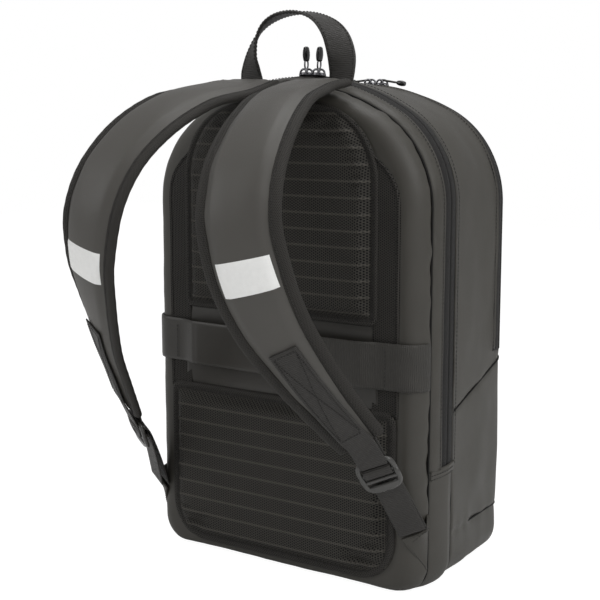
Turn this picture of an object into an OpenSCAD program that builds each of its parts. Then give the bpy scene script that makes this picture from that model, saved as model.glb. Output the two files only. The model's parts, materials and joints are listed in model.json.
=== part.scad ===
// School backpack: a soft bag with a padded, ventilated back, two shoulder straps, a trolley band,
// a main compartment that opens at a zip round three sides, and a zipped front compartment.
// The wearer's side faces -Y, the front of the bag faces +Y, and the base stands on z = 0.

/* [Body] */
// Width of the bag at the main zip
bag_w = 300; // [250:1:370]
// Depth from the back panel to the front face
bag_d = 156; // [130:1:190]
// Height of the bag at the main zip
bag_h = 456; // [380:1:550]
// Radius of the crown arc
crown_r = 200; // [190:1:260]
// Radius of the two upper corners
corner_r = 95; // [70:1:110]
// Radius of the two lower corners
base_r = 24; // [12:1:32]
// Rounding of the front edge, all the way round
front_round = 18; // [8:1:22]
// Thickness of the lined fabric shell
wall = 2; // [1.5:0.1:3]
// How much each side draws in towards the front
side_draw = 7; // [0:0.5:12]
// How much the top drops towards the front
top_drop = 10; // [0:0.5:16]
// How much each side draws in towards the back panel
back_draw = 3; // [0:0.5:6]
// How much the top drops towards the back panel
back_drop = 6; // [0:0.5:10]

/* [Zips] */
// Width of one zip tape
tape_w = 9.7; // [8:0.1:12]
// Thickness of a zip tape
tape_t = 1.2; // [0.8:0.1:1.5]
// Gap between the two tapes, where the teeth meet
teeth_gap = 0.6; // [0.4:0.1:1]
// Distance from the back panel to the middle of the main zip
main_zip_in = 29; // [25:0.5:40]
// Height at which the main zip ends on both sides
zip_end_z = 110; // [90:1:140]
// Height of the fold in the front face, where the front compartment starts
fold_front_z = 193; // [180:1:215]
// Length of a zip slider
slider_l = 13; // [10:0.5:15]
// Width of a zip slider
slider_w = 11; // [8:0.5:12]
// Height of a zip slider's body
slider_h = 4; // [3:0.5:5]
// Where the closed sliders meet, to the side of the middle
slider_meet = 5; // [0:0.5:12]
// Length of a main zip puller
puller_l = 22; // [16:0.5:28]
// Width of a main zip puller
puller_w = 10; // [6:0.5:11]
// Length of a front zip's cord puller
cord_puller_l = 26; // [18:0.5:34]
// Radius of the front zip's pull cord
cord_puller_r = 1.2; // [0.8:0.1:1.4]
// Radius of the pin in each slider
pin_r = 1.1; // [0.8:0.1:1.3]
// Height of the pin above the slider's body
pin_rise = 2.2; // [2:0.1:3]

/* [Back] */
// Height of the padded back above the back panel's seam
cushion_h = 18; // [12:1:20]
// Space between the seam and the flat of the padded back, at each side
cushion_side = 20; // [14:1:26]
// Space between the seam and the flat of the padded back, at the top
cushion_top = 16; // [12:1:22]
// Space between the base and the flat of the padded back
cushion_base = 8; // [6:1:10]
// Thickness of the back pads
pad_t = 8; // [6:0.5:11]
// Space between each side of the upper back pad and the side seam
upper_pad_side = 42; // [38:1:60]
// Lowest point of the upper back pad
upper_pad_z0 = 240; // [234:1:250]
// Space between the top of the upper back pad and the top seam
upper_pad_drop = 20; // [19:1:30]
// Space between each side of the lower back pad and the side seam
lower_pad_side = 23; // [21:1:50]
// Lowest point of the lower back pad
lower_pad_z0 = 11; // [8:1:20]
// Highest point of the lower back pad
lower_pad_z1 = 164; // [150:1:170]
// Width of the mesh border beside the upper pad
border_w = 19; // [14:1:21]
// Thickness of the mesh border
border_t = 2; // [1:0.5:3]
// Width of the trolley band, top to bottom
band_w = 42; // [35:1:46]
// Height of the middle of the trolley band
band_z = 206; // [203:1:208]
// Thickness of the trolley band
band_t = 1.8; // [1.2:0.1:2.2]
// Free space behind the trolley band
band_gap = 8.5; // [6:0.5:10]
// Length sewn down at each end of the trolley band
band_sewn = 32; // [20:1:40]

/* [Inside] */
// Thickness of the stiff sheet behind the back pads
sheet_t = 1.5; // [1:0.1:2.5]
// Thickness of the base board
board_t = 3; // [2:0.5:4]
// Space between each side of the laptop sleeve and the side of the bag
sleeve_side = 22; // [14:1:50]
// Height of the laptop sleeve
sleeve_h = 290; // [240:1:310]
// Room in the laptop sleeve for a computer
sleeve_room = 15; // [10:0.5:20]
// Thickness of the padded sleeve wall
sleeve_t = 4; // [3:0.5:6]
// Depth of the front compartment
pocket_d = 44; // [30:1:55]
// Space between each side of the organiser pocket and the side of the bag
organiser_side = 55; // [30:1:80]
// Height of the organiser pocket
organiser_h = 110; // [80:1:140]
// Room in the organiser pocket
organiser_room = 8; // [6:0.5:10]

/* [Handle] */
// Width of the grab handle's webbing
handle_w = 25; // [20:1:30]
// Thickness of the grab handle's webbing
handle_t = 2.4; // [1.6:0.1:3]
// Half the distance between the two sewn ends
handle_half = 49; // [40:1:60]
// Height of the handle loop above the bag
handle_rise = 60; // [50:1:80]

/* [Shoulder straps] */
// Width of the padded strap where it is widest
strap_w = 75; // [60:1:76]
// Thickness of the padded strap
strap_t = 12; // [8:0.5:14]
// Thickness of the strap's bound edge
binding_t = 7; // [4:0.5:8]
// Width of the strap's bound edge
binding_w = 10; // [7:0.5:12]
// Width of the strap webbing
webbing_w = 25; // [20:1:30]
// Thickness of the strap webbing
webbing_t = 1.6; // [1.2:0.1:2]
// Length of the blank label along the strap
label_l = 30; // [20:1:40]
// Thickness of the blank label
label_t = 0.8; // [0.5:0.1:1.2]
// Length of the ladder lock buckle
buckle_l = 36; // [30:0.5:42]
// Thickness of the buckle's frame
buckle_t = 5; // [4:0.5:6]
// Width of each side rail of the buckle
buckle_rail = 4.5; // [3.5:0.5:6]
// Radius of the buckle's bars
bar_r = 2; // [1.5:0.1:2.4]
// Free length of webbing between the strap and the top bar of the buckle
tab_free = 20; // [16:0.5:26]

/* [Fits] */
// Gap between pieces that move past each other
gap = 0.3; // [0.2:0.05:0.5]

/* [Hidden] */
$fn = 48;

cloth = [0.30, 0.29, 0.27];
cloth_dark = [0.24, 0.23, 0.22];
mesh_black = [0.06, 0.06, 0.06];
webbing_grey = [0.20, 0.20, 0.19];
lining = [0.35, 0.35, 0.36];
gunmetal = [0.25, 0.25, 0.27];
plastic_black = [0.05, 0.05, 0.05];
label_white = [0.92, 0.92, 0.91];
sheet_white = [0.85, 0.86, 0.85];

// Planes across the depth of the bag
back_y = -bag_d / 2;
front_y = bag_d / 2;
zip_y = back_y + main_zip_in;
rear_tape_y0 = zip_y - teeth_gap / 2 - tape_w;
front_tape_y1 = zip_y + teeth_gap / 2 + tape_w;
front_zip_y = front_y - front_round + 2;
front_zip_y0 = front_zip_y - teeth_gap / 2 - tape_w;
front_zip_y1 = front_zip_y + teeth_gap / 2 + tape_w;
divider_y = front_y - pocket_d - wall;
flap_z = fold_front_z + 6;
arc_steps = 7;
crown_steps = 10;
base_steps = 4;

// Slanted fold from the ends of the main zip up to the fold in the front face
fold_angle = atan2(fold_front_z - zip_end_z, front_y - zip_y);

function total(list, last) = last < 0 ? 0 : list[last] + total(list, last - 1);
function unit(v) = v / norm(v);
function arc(x, z, r, a0, a1, steps, first = 0) =
    [for (i = [first:steps]) [x + r * cos(a0 + (a1 - a0) * i / steps),
                              z + r * sin(a0 + (a1 - a0) * i / steps)]];

// How far the section at depth y lies inside the section at the main zip
function rounding(y, inset = 0) =
    let (r = front_round - inset, past = y - (front_y - front_round))
    past <= 0 ? 0 : r - sqrt(max(0, r * r - past * past));
function forward(y) = max(0, y - zip_y) / (front_y - zip_y);
function rearward(y) = max(0, zip_y - y) / main_zip_in;
function half_width(y, inset = 0) =
    bag_w / 2 - side_draw * forward(y) - back_draw * rearward(y) - rounding(y, inset);
function top_height(y, inset = 0) =
    bag_h - top_drop * forward(y) - back_drop * rearward(y) - rounding(y, inset);

// Angle from the middle of the crown to the end of the crown arc
function crown_angle(half) = asin((half - corner_r) / (crown_r - corner_r));

// Outline of the bag at depth y, counter-clockwise seen from the wearer's side
function outline(y, inset = 0) =
    let (half = half_width(y, inset), top = top_height(y, inset), a = crown_angle(half),
         corner_x = half - corner_r, crown_z = top - crown_r,
         corner_z = crown_z + (crown_r - corner_r) * cos(a),
         base_z = rounding(y, inset), foot_x = half - base_r, foot_z = base_z + base_r)
    concat(arc(foot_x, foot_z, base_r - inset, -90, 0, base_steps),
           arc(corner_x, corner_z, corner_r - inset, 0, 90 - a, arc_steps),
           arc(0, crown_z, crown_r - inset, 90 - a, 90 + a, crown_steps, 1),
           arc(-corner_x, corner_z, corner_r - inset, 90 + a, 180, arc_steps, 1),
           arc(-foot_x, foot_z, base_r - inset, 180, 270, base_steps));

// Solid between sections, each a list of points counter-clockwise seen from the last section
module skin(rings) {
    count = len(rings[0]);
    last = len(rings) - 1;
    sides = [for (i = [0:last - 1], j = [0:count - 1])
        let (k = (j + 1) % count)
        each [[i * count + j, (i + 1) * count + j, (i + 1) * count + k],
              [i * count + j, (i + 1) * count + k, i * count + k]]];
    start_cap = [for (j = [0:count - 1]) j];
    end_cap = [for (j = [count - 1:-1:0]) last * count + j];
    polyhedron(points = [for (ring = rings) each ring], faces = concat([start_cap, end_cap], sides));
}

function section_at(y, inset) = [for (p = outline(y, inset)) [p[0], y, p[1]]];

// Depths at which a solid lying inset inside the bag has a section, from y1 back to y0
function stations(y0, y1, inset) =
    let (round_y = front_y - front_round,
         depths = concat([for (a = [65, 45, 25]) round_y + (front_round - inset) * sin(a)],
                         [for (share = [1, 0.66, 0.33, 0]) zip_y + share * (round_y - zip_y)]))
    concat([y1], [for (y = depths) if (y < y1 - 0.3 && y > y0 + 0.3) y], [y0]);

// Full solid of the bag between two depths, and a hollow shell open at both ends
module solid(y0, y1, inset = 0) {
    skin([for (y = stations(y0, y1, inset)) section_at(y, inset)]);
}
module shell(y0, y1, thickness = wall) {
    difference() {
        solid(y0, y1);
        skin([for (y = stations(y0, y1, 0))
            let (out = y == y1 ? 0.01 : y == y0 ? -0.01 : 0)
            [for (p = outline(y, thickness)) [p[0], y + out, p[1]]]]);
    }
}
// Shell from depth y0 to the front face, which closes it
module front_cup(y0) {
    difference() {
        solid(y0, front_y);
        translate([0, -0.01, 0])
            solid(y0, front_y - wall, wall);
    }
}

// Everything above the slanted fold, raised by lift, and everything above a height
module above_fold(lift = 0) {
    translate([0, zip_y, zip_end_z])
        rotate([fold_angle, 0, 0])
            translate([-bag_w, -2 * bag_h, lift])
                cube([2 * bag_w, 4 * bag_h, 2 * bag_h]);
}
module above(z) {
    translate([-bag_w, -bag_d, z])
        cube([2 * bag_w, 3 * bag_d, 2 * bag_h]);
}

// ---- Back ----
pad_y = back_y - cushion_h;
// Outline of the padded back, share of the way from its seam to its flat face
function cushion_outline(share) =
    let (half = half_width(back_y), top = top_height(back_y))
    [for (p = outline(back_y))
        [p[0] * (1 - share * cushion_side / half),
         share * cushion_base + p[1] * (1 - share * (cushion_base + cushion_top) / top)]];
module back_panel() color(cloth) {
    skin([for (ring = [[wall, 0], [0, 0], [-cushion_h, 1]])
        [for (p = cushion_outline(ring[1])) [p[0], back_y + ring[0], p[1]]]]);
}
module rear_gusset() color(cloth) {
    difference() {
        shell(back_y + wall, zip_y - teeth_gap / 2);
        translate([-bag_w, rear_tape_y0, zip_end_z])
            cube([2 * bag_w, bag_d, bag_h]);
    }
}
module pad_block(points, thickness) {
    count = len(points);
    middle = [0, total([for (p = points) p[1]], count - 1) / count];
    half = max([for (p = points) p[0]]);
    skin([for (step = [[0, 1], [0.6, 1], [0.9, 0.97], [1, 0.92]])
        [for (p = points)
            let (q = middle + (p - middle) * step[1])
            [q[0], pad_y - thickness * step[0], q[1]]]]);
}
upper_pad_half = half_width(back_y) - upper_pad_side;
upper_pad_top = top_height(back_y) - upper_pad_drop;
module upper_back_pad() color(mesh_black) {
    half = upper_pad_half;
    round_r = 66;
    top = upper_pad_top;
    pad_block(concat(arc(half - 3, upper_pad_z0 + 3, 3, -90, 0, 2),
                     arc(half - round_r, top - round_r, round_r, 0, 90, 6),
                     arc(-half + round_r, top - round_r, round_r, 90, 180, 6),
                     arc(-half + 3, upper_pad_z0 + 3, 3, 180, 270, 2)), pad_t);
}
module lower_back_pad() color(mesh_black) {
    half = half_width(back_y) - lower_pad_side;
    round_r = 34;
    pad_block(concat(arc(half - round_r, lower_pad_z0 + round_r, round_r, -90, 0, 6),
                     arc(half - 4, lower_pad_z1 - 4, 4, 0, 90, 2),
                     arc(-half + 4, lower_pad_z1 - 4, 4, 90, 180, 2),
                     arc(-half + round_r, lower_pad_z0 + round_r, round_r, 180, 270, 6)), pad_t);
}
module channel_panel() color(cloth) {
    translate([-upper_pad_half, pad_y - 1, lower_pad_z1 + gap])
        cube([2 * upper_pad_half, 1, upper_pad_z0 - lower_pad_z1 - 2 * gap]);
}
module mesh_border(side) color(mesh_black) {
    inner = upper_pad_half + gap;
    top = upper_pad_top - 84;
    mirror([side < 0 ? 1 : 0, 0, 0])
        translate([inner, pad_y - border_t, lower_pad_z1 + gap])
            cube([border_w, border_t, top - lower_pad_z1]);
}
module left_mesh_border() mesh_border(-1);
module right_mesh_border() mesh_border(1);
module trolley_band() color(webbing_grey) {
    half = half_width(back_y) - 2;
    flat_x = half_width(back_y) - cushion_side + 1;
    free_x = half - band_sewn;
    seam_y = back_y - 2 * cushion_h / cushion_side - gap;
    low_y = pad_y - border_t - gap / 3;
    high_y = pad_y - 1 - band_gap;
    path = [[-half, seam_y], [-flat_x, low_y], [-free_x, low_y],
            [-free_x + 16, (low_y + high_y) / 2 - 1],
            [-free_x + 30, high_y], [free_x - 30, high_y],
            [free_x - 16, (low_y + high_y) / 2 - 1], [free_x, low_y],
            [flat_x, low_y], [half, seam_y]];
    translate([0, 0, band_z - band_w / 2])
        linear_extrude(band_w)
            polygon(concat([for (p = path) [p[0], p[1]]],
                           [for (i = [len(path) - 1:-1:0]) [path[i][0], path[i][1] - band_t]]));
}

// ---- Shell ----
module lower_tub() color(cloth_dark) {
    difference() {
        front_cup(zip_y - teeth_gap / 2);
        above(zip_end_z);
    }
}
module fold_panel() color(cloth) {
    difference() {
        intersection() {
            front_cup(zip_y + teeth_gap / 2);
            above(zip_end_z);
        }
        above_fold(-gap);
    }
}
module front_shell() color(cloth) {
    intersection() {
        difference() {
            front_cup(front_tape_y1);
            translate([-bag_w, front_zip_y0, flap_z - gap])
                cube([2 * bag_w, bag_d, bag_h]);
        }
        above_fold();
    }
}
module divider() color(lining) {
    intersection() {
        solid(divider_y, front_y - wall, wall + gap);
        difference() {
            above_fold(gap);
            intersection() {
                above_fold(gap + wall);
                translate([-bag_w, divider_y + wall, 0])
                    cube([2 * bag_w, bag_d, bag_h]);
            }
        }
    }
}
module front_panel() color(cloth) {
    intersection() {
        front_cup(front_zip_y1);
        above(flap_z);
    }
}

// ---- Zips ----
module main_zip_rear_tape() color(plastic_black) {
    intersection() {
        shell(rear_tape_y0, zip_y - teeth_gap / 2, tape_t);
        above(zip_end_z);
    }
}
module main_zip_front_tape() color(plastic_black) {
    intersection() {
        shell(zip_y + teeth_gap / 2, front_tape_y1, tape_t);
        above_fold(gap);
    }
}
module front_zip_rear_tape() color(plastic_black) {
    intersection() {
        shell(front_zip_y0, front_zip_y - teeth_gap / 2, tape_t);
        above(flap_z);
    }
}
module front_zip_front_tape() color(plastic_black) {
    intersection() {
        shell(front_zip_y + teeth_gap / 2, front_zip_y1, tape_t);
        above(flap_z);
    }
}

// Places children at the crown of the section at depth y, travelled round the crown by an angle
module on_crown(y, angle) {
    translate([0, y, top_height(y) - crown_r])
        rotate([0, angle, 0])
            translate([0, 0, crown_r + seat_rise(y)])
                children();
}
// How far the surface under a slider rises above the middle of its zip
function seat_rise(y) =
    max(0, top_height(y - slider_w / 2) - top_height(y), top_height(y + slider_w / 2) - top_height(y));
function meet_angle(side) = asin((slider_meet + side * (slider_l + gap) / 2) / crown_r);

ear_t = 1.8;
ear_r = pin_r + gap + 1.6;
module slider_body() color(gunmetal) {
    difference() {
        translate([-slider_l / 2, -slider_w / 2, 0])
            cube([slider_l, slider_w, slider_h]);
        for (s = [-1, 1])
            translate([s * slider_l * 0.62, 0, -1])
                rotate([0, 0, 45])
                    translate([-slider_w / 4, -slider_w / 4, 0])
                        cube([slider_w / 2, slider_w / 2, slider_h + 2]);
    }
    for (s = [-1, 1])
        translate([0, s * (slider_w - ear_t) / 2, slider_h + pin_rise])
            rotate([90, 0, 0])
                difference() {
                    cylinder(r = ear_r, h = ear_t, center = true);
                    cylinder(r = pin_r + gap, h = 2 * ear_t, center = true);
                }
}
module pin() {
    rotate([90, 0, 0])
        cylinder(r = pin_r, h = slider_w - 2 * gap, center = true);
}
// Upright puller: a flat arm between the ears and a round head
module main_puller() color(plastic_black) {
    arm_t = 2 * pin_r + 0.6;
    pin();
    translate([0, 0, puller_l / 2 - pin_r])
        cube([arm_t, slider_w - 2 * ear_t - 2 * gap, puller_l], center = true);
    translate([0, 0, puller_l - puller_w / 2])
        rotate([0, 90, 0])
            cylinder(r = puller_w / 2, h = 4.4, center = true);
}
// Cord puller: a doubled cord from the pin to a moulded end
module cord_puller() color(plastic_black) {
    end_l = 8;
    end_r = 2.6;
    pin();
    for (s = [-1, 1])
        translate([0, s * cord_puller_r * 0.8, 0])
            rotate([0, 90, 0])
                cylinder(r = cord_puller_r, h = cord_puller_l - end_l + 1);
    translate([cord_puller_l - end_l, 0, 0])
        rotate([0, 90, 0])
            cylinder(r = end_r, h = end_l);
}
// Height of a slider's pin above the surface of the crown
pin_lift = gap + slider_h + pin_rise;
cord_droop = 5;
module zip_slider(y, side) {
    on_crown(y, meet_angle(side))
        translate([0, 0, gap])
            slider_body();
}
module upright_puller(side) {
    on_crown(zip_y, meet_angle(side))
        translate([0, 0, pin_lift])
            main_puller();
}
module lying_puller(side) {
    on_crown(front_zip_y, meet_angle(side))
        translate([0, 0, pin_lift])
            mirror([side < 0 ? 1 : 0, 0, 0])
                rotate([0, cord_droop, 0])
                    cord_puller();
}
module main_slider_left() zip_slider(zip_y, -1);
module main_slider_right() zip_slider(zip_y, 1);
module front_slider_left() zip_slider(front_zip_y, -1);
module front_slider_right() zip_slider(front_zip_y, 1);
module main_puller_left() upright_puller(-1);
module main_puller_right() upright_puller(1);
module front_puller_left() lying_puller(-1);
module front_puller_right() lying_puller(1);

// ---- Grab handle ----
handle_y = back_y + 9;
hem_r = handle_t / 2 + 0.4;
handle_base_z = top_height(handle_y) - crown_r
    + sqrt(pow(crown_r, 2) - pow(handle_half - handle_w / 2, 2)) + gap + hem_r;
// Points along half of the loop: share of half width, share of rise, turn of the webbing
handle_half_path = [[1, 0, 90], [1.02, 0.15, 80], [1, 0.38, 58], [0.88, 0.64, 40],
                    [0.66, 0.84, 24], [0.36, 0.96, 10], [0, 1, 0]];
handle_path = concat(handle_half_path,
    [for (i = [len(handle_half_path) - 2:-1:0])
        let (p = handle_half_path[i]) [-p[0], p[1], -p[2]]]);
// A flat band: centre, width direction and travel direction give a ring of four points
function band_ring(p, across, along, w, t) =
    let (face = cross(along, across))
    [p + across * w / 2 - face * t / 2, p + across * w / 2 + face * t / 2,
     p - across * w / 2 + face * t / 2, p - across * w / 2 - face * t / 2];
module grab_handle() color(webbing_grey) {
    points = [for (p = handle_path)
        [p[0] * handle_half, handle_y, handle_base_z + p[1] * handle_rise]];
    last = len(points) - 1;
    skin([for (i = [0:last])
        let (along = unit(points[min(last, i + 1)] - points[max(0, i - 1)]),
             turn = handle_path[i][2],
             guess = [sin(turn), cos(turn), 0],
             across = unit(guess - along * (guess * along)))
        band_ring(points[i], across, along, handle_w, handle_t)]);
    for (s = [-1, 1])
        translate([s * handle_half, handle_y, handle_base_z])
            rotate([0, 90, 0])
                cylinder(r = hem_r, h = handle_w, center = true);
}

// ---- Shoulder straps ----
// Route of the right strap from the top seam down. Each row: share of the way out to the side seam,
// distance out from the back panel, share of the panel's height, turn and tilt of the strap's width,
// share of the strap's full width
strap_top_x = 36.5;
strap_seat = norm([cushion_h, cushion_top]);
strap_bead = 0.95 * strap_w - 2 * binding_w - 14;
crown_drop = crown_r - sqrt(pow(crown_r, 2) - pow(strap_top_x - strap_bead / 2, 2));
strap_out = 0.4 * cushion_h + (gap + strap_t / 2) * cushion_top / strap_seat;
strap_drop = crown_drop + 0.4 * cushion_top - (gap + strap_t / 2) * cushion_h / strap_seat;
strap_route = [
    [0, strap_out, 1 - strap_drop / top_height(back_y), 0, 0, 0.95], [0.02, 44, 0.984, -6, 2, 0.96],
    [0.13, 90, 0.962, -10, 0, 0.98], [0.225, 131, 0.913, -10, -6, 1],
    [0.3, 162, 0.844, -4, -12, 1], [0.36, 177, 0.762, 6, -14, 0.99],
    [0.43, 174, 0.671, 18, -10, 0.96], [0.5, 158, 0.582, 25, -1, 0.88],
    [0.6, 135, 0.5, 26, 14, 0.77], [0.7, 109, 0.424, 22, 25, 0.68],
    [0.83, 80, 0.344, 16, 32, (webbing_w + 2 * binding_w) / strap_w]];
strap_steps = 3;
strap_rows = [for (r = strap_route)
    [strap_top_x + r[0] * (half_width(back_y) - strap_top_x), back_y - r[1],
     r[2] * top_height(back_y), r[3], r[4], r[5] * strap_w]];
anchor_tip = [half_width(back_y) - 1, back_y - 21, 59];
function spline(a, b, c, d, t) =
    (2 * b + (c - a) * t + (2 * a - 5 * b + 4 * c - d) * t * t + (3 * b - a - 3 * c + d) * t * t * t) / 2;
function smooth(list, steps) = let (last = len(list) - 1) concat(
    [for (i = [0:last - 1], s = [0:steps - 1])
        spline(list[max(0, i - 1)], list[i], list[i + 1], list[min(last, i + 2)], s / steps)],
    [list[last]]);
strap_line = smooth(strap_rows, strap_steps);
strap_last = len(strap_line) - 1;
function place(row) = [row[0], row[1], row[2]];
function strap_along(i) =
    unit(place(strap_line[min(strap_last, i + 1)]) - place(strap_line[max(0, i - 1)]));
function level(turn, tilt) = [cos(turn) * cos(tilt), sin(turn) * cos(tilt), sin(tilt)];
function strap_across(i) =
    let (guess = level(strap_line[i][3], strap_line[i][4]), along = strap_along(i))
    unit(guess - along * (guess * along));
function strap_face(i) = cross(strap_along(i), strap_across(i));
// Ring of the strap's section, given as points across and out of the strap
function strap_ring(i, section) =
    [for (p = section) place(strap_line[i]) + strap_across(i) * p[0] + strap_face(i) * p[1]];

module strap_pad() color(cloth) {
    skin([for (i = [0:strap_last])
        let (half = strap_line[i][5] / 2 - binding_w, e = binding_t / 2, t = strap_t / 2, b = 7)
        strap_ring(i, [[half, -e], [half, e], [half - b, t], [-half + b, t],
                       [-half, e], [-half, -e], [-half + b, -t], [half - b, -t]])]);
    translate(place(strap_line[0]))
        rotate([0, 90, 0])
            cylinder(r = strap_t / 2, h = strap_bead, center = true);
}
module strap_binding() color(mesh_black) {
    for (s = [-1, 1])
        skin([for (i = [0:strap_last])
            let (outer = strap_line[i][5] / 2, e = binding_t / 2,
                 inner = outer - binding_w + gap, a = s > 0 ? inner : -outer, b = s > 0 ? outer : -inner,
                 ea = s > 0 ? e : e / 2, eb = s > 0 ? e / 2 : e)
            strap_ring(i, [[a, -ea], [b, -eb], [b, eb], [a, ea]])]);
}
module strap_label() color(label_white) {
    middle = 6 * strap_steps;
    half = strap_line[middle][5] / 2 - binding_w - 7;
    lift = strap_t / 2 + gap + label_t / 2;
    skin([for (s = [-1, 1])
        band_ring(place(strap_line[middle]) + strap_along(middle) * s * label_l / 2
                  + strap_face(middle) * lift, strap_across(middle), strap_along(middle),
                  2 * half, label_t)]);
}

// Frame of the buckle: x across the strap, y down along the webbing, z out of the strap's face
strap_end = place(strap_line[strap_last]);
buckle_along = unit(anchor_tip - strap_end);
buckle_guess = level(strap_line[strap_last][3], strap_line[strap_last][4]);
buckle_across = unit(buckle_guess - buckle_along * (buckle_guess * buckle_along));
buckle_face = cross(buckle_along, buckle_across);
buckle_origin = strap_end + buckle_along * tab_free;
module at_buckle() {
    x = buckle_across;
    y = buckle_along;
    z = buckle_face;
    o = buckle_origin;
    multmatrix([[x[0], -y[0], z[0], o[0]], [x[1], -y[1], z[1], o[1]],
                [x[2], -y[2], z[2], o[2]], [0, 0, 0, 1]])
        children();
}
buckle_w = webbing_w + 2 * (buckle_rail + 0.8);
top_bar = -bar_r - 1;
middle_bar = -buckle_l * 0.40;
lower_bar = -buckle_l * 0.66;
module bar(y, r, length) {
    translate([0, y, 0])
        rotate([0, 90, 0])
            cylinder(r = r, h = length, center = true);
}
module strap_buckle() color(plastic_black) at_buckle() {
    inner_w = buckle_w - 2 * buckle_rail;
    for (s = [-1, 1])
        translate([s * (buckle_w - buckle_rail) / 2, -buckle_l / 2, 0])
            cube([buckle_rail, buckle_l - 8, buckle_t], center = true);
    bar(top_bar, bar_r, buckle_w - 4);
    bar(middle_bar, bar_r, inner_w + 2);
    bar(lower_bar, bar_r, inner_w + 2);
    bar(-buckle_l + 3.6, 3.6, buckle_w - 6);
    for (s = [-1, 1])
        for (y = [top_bar, -buckle_l + 3.6])
            translate([s * (buckle_w - buckle_rail) / 2, y, 0])
                rotate([0, 90, 0])
                    cylinder(r = y == top_bar ? buckle_t / 2 : 3.6, h = buckle_rail, center = true);
}
// Webbing tab: sewn on the strap's face, round the top bar and back
module strap_tab() color(webbing_grey) {
    face_lift = strap_t / 2 + webbing_t / 2 + gap;
    first = strap_last - 3;
    on_strap = [for (i = [first, first + 1, first + 2, strap_last])
        [place(strap_line[i]) + strap_face(i) * face_lift, strap_across(i), strap_along(i)]];
    loop_r = bar_r + 1.6 * gap + webbing_t / 2;
    bar_place = buckle_origin + buckle_along * (-top_bar);
    round_bar = [for (a = [70, 30, -10, -50, -90, -130])
        [bar_place + buckle_face * loop_r * sin(a) + buckle_along * loop_r * cos(a), buckle_across,
         buckle_along * sin(a) - buckle_face * cos(a)]];
    back = [[strap_end - strap_face(strap_last) * (webbing_t + 0.6) + buckle_along * 1.5,
             buckle_across, -buckle_along]];
    skin([for (row = concat(on_strap, round_bar, back))
        band_ring(row[0], row[1], row[2], webbing_w, webbing_t)]);
}
// Adjusting webbing: from the anchor up behind the buckle, over its middle bar and back down
module strap_webbing() color(webbing_grey) {
    reach = norm(anchor_tip - buckle_origin);
    wrap = bar_r + 1.5 * gap + webbing_t / 2;
    behind = -(buckle_t / 2 + gap + webbing_t / 2 + 1.3);
    tail = behind - webbing_t - 2 * gap;
    path = [[reach, tail], [buckle_l * 0.7, tail], [buckle_l * 0.40, -wrap - 2.2],
            [buckle_l * 0.26, -1.2], [buckle_l * 0.30, wrap * 0.8], [buckle_l * 0.40, wrap],
            [buckle_l * 0.48, wrap * 0.75], [buckle_l * 0.54, -1.5],
            [buckle_l * 0.66, behind], [buckle_l, behind], [buckle_l * 1.6, behind + 1],
            [reach - 4, behind + 4]];
    last = len(path) - 1;
    at_buckle()
        skin([for (i = [0:last])
            let (step = unit(path[min(last, i + 1)] - path[max(0, i - 1)]))
            band_ring([0, -path[i][0], path[i][1]], [-1, 0, 0], [0, -step[0], step[1]],
                      webbing_w, webbing_t)]);
}
// Triangular wing sewn into the side seam; it carries the webbing's end
module strap_anchor() color(cloth_dark) {
    seam_x = half_width(back_y) - 1.5;
    seam_y = back_y - 1.5 * cushion_h / cushion_side - gap - 1;
    out = [0, -1, 0];
    tip = anchor_tip + buckle_along * 1.5 + buckle_face * -4;
    skin([[[seam_x, seam_y - 0.8, 66], [seam_x, seam_y + 0.8, 66],
           [seam_x, seam_y + 0.8, 28], [seam_x, seam_y - 0.8, 28]],
          [tip + buckle_across * 12 + out * 0.8, tip + buckle_across * 12 - out * 0.8,
           tip - buckle_across * 12 - out * 0.8, tip - buckle_across * 12 + out * 0.8]]);
}
module on_side(side) mirror([side < 0 ? 1 : 0, 0, 0]) children();

// ---- Inside ----
module frame_sheet() color(sheet_white) {
    translate([0, back_y + wall + gap + sheet_t, 0])
        rotate([90, 0, 0])
            linear_extrude(sheet_t)
                polygon(outline(back_y + wall, 8));
}
module base_board() color(lining) {
    length = front_y - front_round - zip_y;
    translate([-half_width(front_y - front_round) + base_r, zip_y, wall + gap])
        cube([2 * half_width(front_y - front_round) - 2 * base_r, length, board_t]);
}
module laptop_sleeve() color(lining) {
    inner_y = back_y + wall + 2 * gap + sheet_t;
    sleeve_w = 2 * (half_width(back_y) - sleeve_side);
    translate([-sleeve_w / 2, inner_y, wall + 4]) {
        difference() {
            cube([sleeve_w, sleeve_room + sleeve_t, sleeve_h]);
            translate([sleeve_t, -1, sleeve_t])
                cube([sleeve_w - 2 * sleeve_t, sleeve_room + 1, sleeve_h]);
        }
    }
}
module organiser_pocket() color(lining) {
    organiser_w = 2 * (half_width(divider_y) - organiser_side);
    floor_z = zip_end_z + tan(fold_angle) * (divider_y + wall + organiser_room - zip_y) + wall + 8;
    translate([-organiser_w / 2, divider_y + wall + gap / 3, floor_z]) {
        difference() {
            cube([organiser_w, organiser_room + 1.2, organiser_h]);
            translate([1.2, -1, 1.2])
                cube([organiser_w - 2.4, organiser_room + 1, organiser_h]);
        }
    }
}

module left_anchor() on_side(-1) strap_anchor();
module right_anchor() on_side(1) strap_anchor();
module left_webbing() on_side(-1) strap_webbing();
module right_webbing() on_side(1) strap_webbing();
module strap_pad_left() on_side(-1) strap_pad();
module strap_pad_right() on_side(1) strap_pad();
module strap_binding_left() on_side(-1) strap_binding();
module strap_binding_right() on_side(1) strap_binding();
module strap_label_left() on_side(-1) strap_label();
module strap_label_right() on_side(1) strap_label();
module strap_tab_left() on_side(-1) strap_tab();
module strap_tab_right() on_side(1) strap_tab();
module buckle_left() on_side(-1) strap_buckle();
module buckle_right() on_side(1) strap_buckle();

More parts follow.
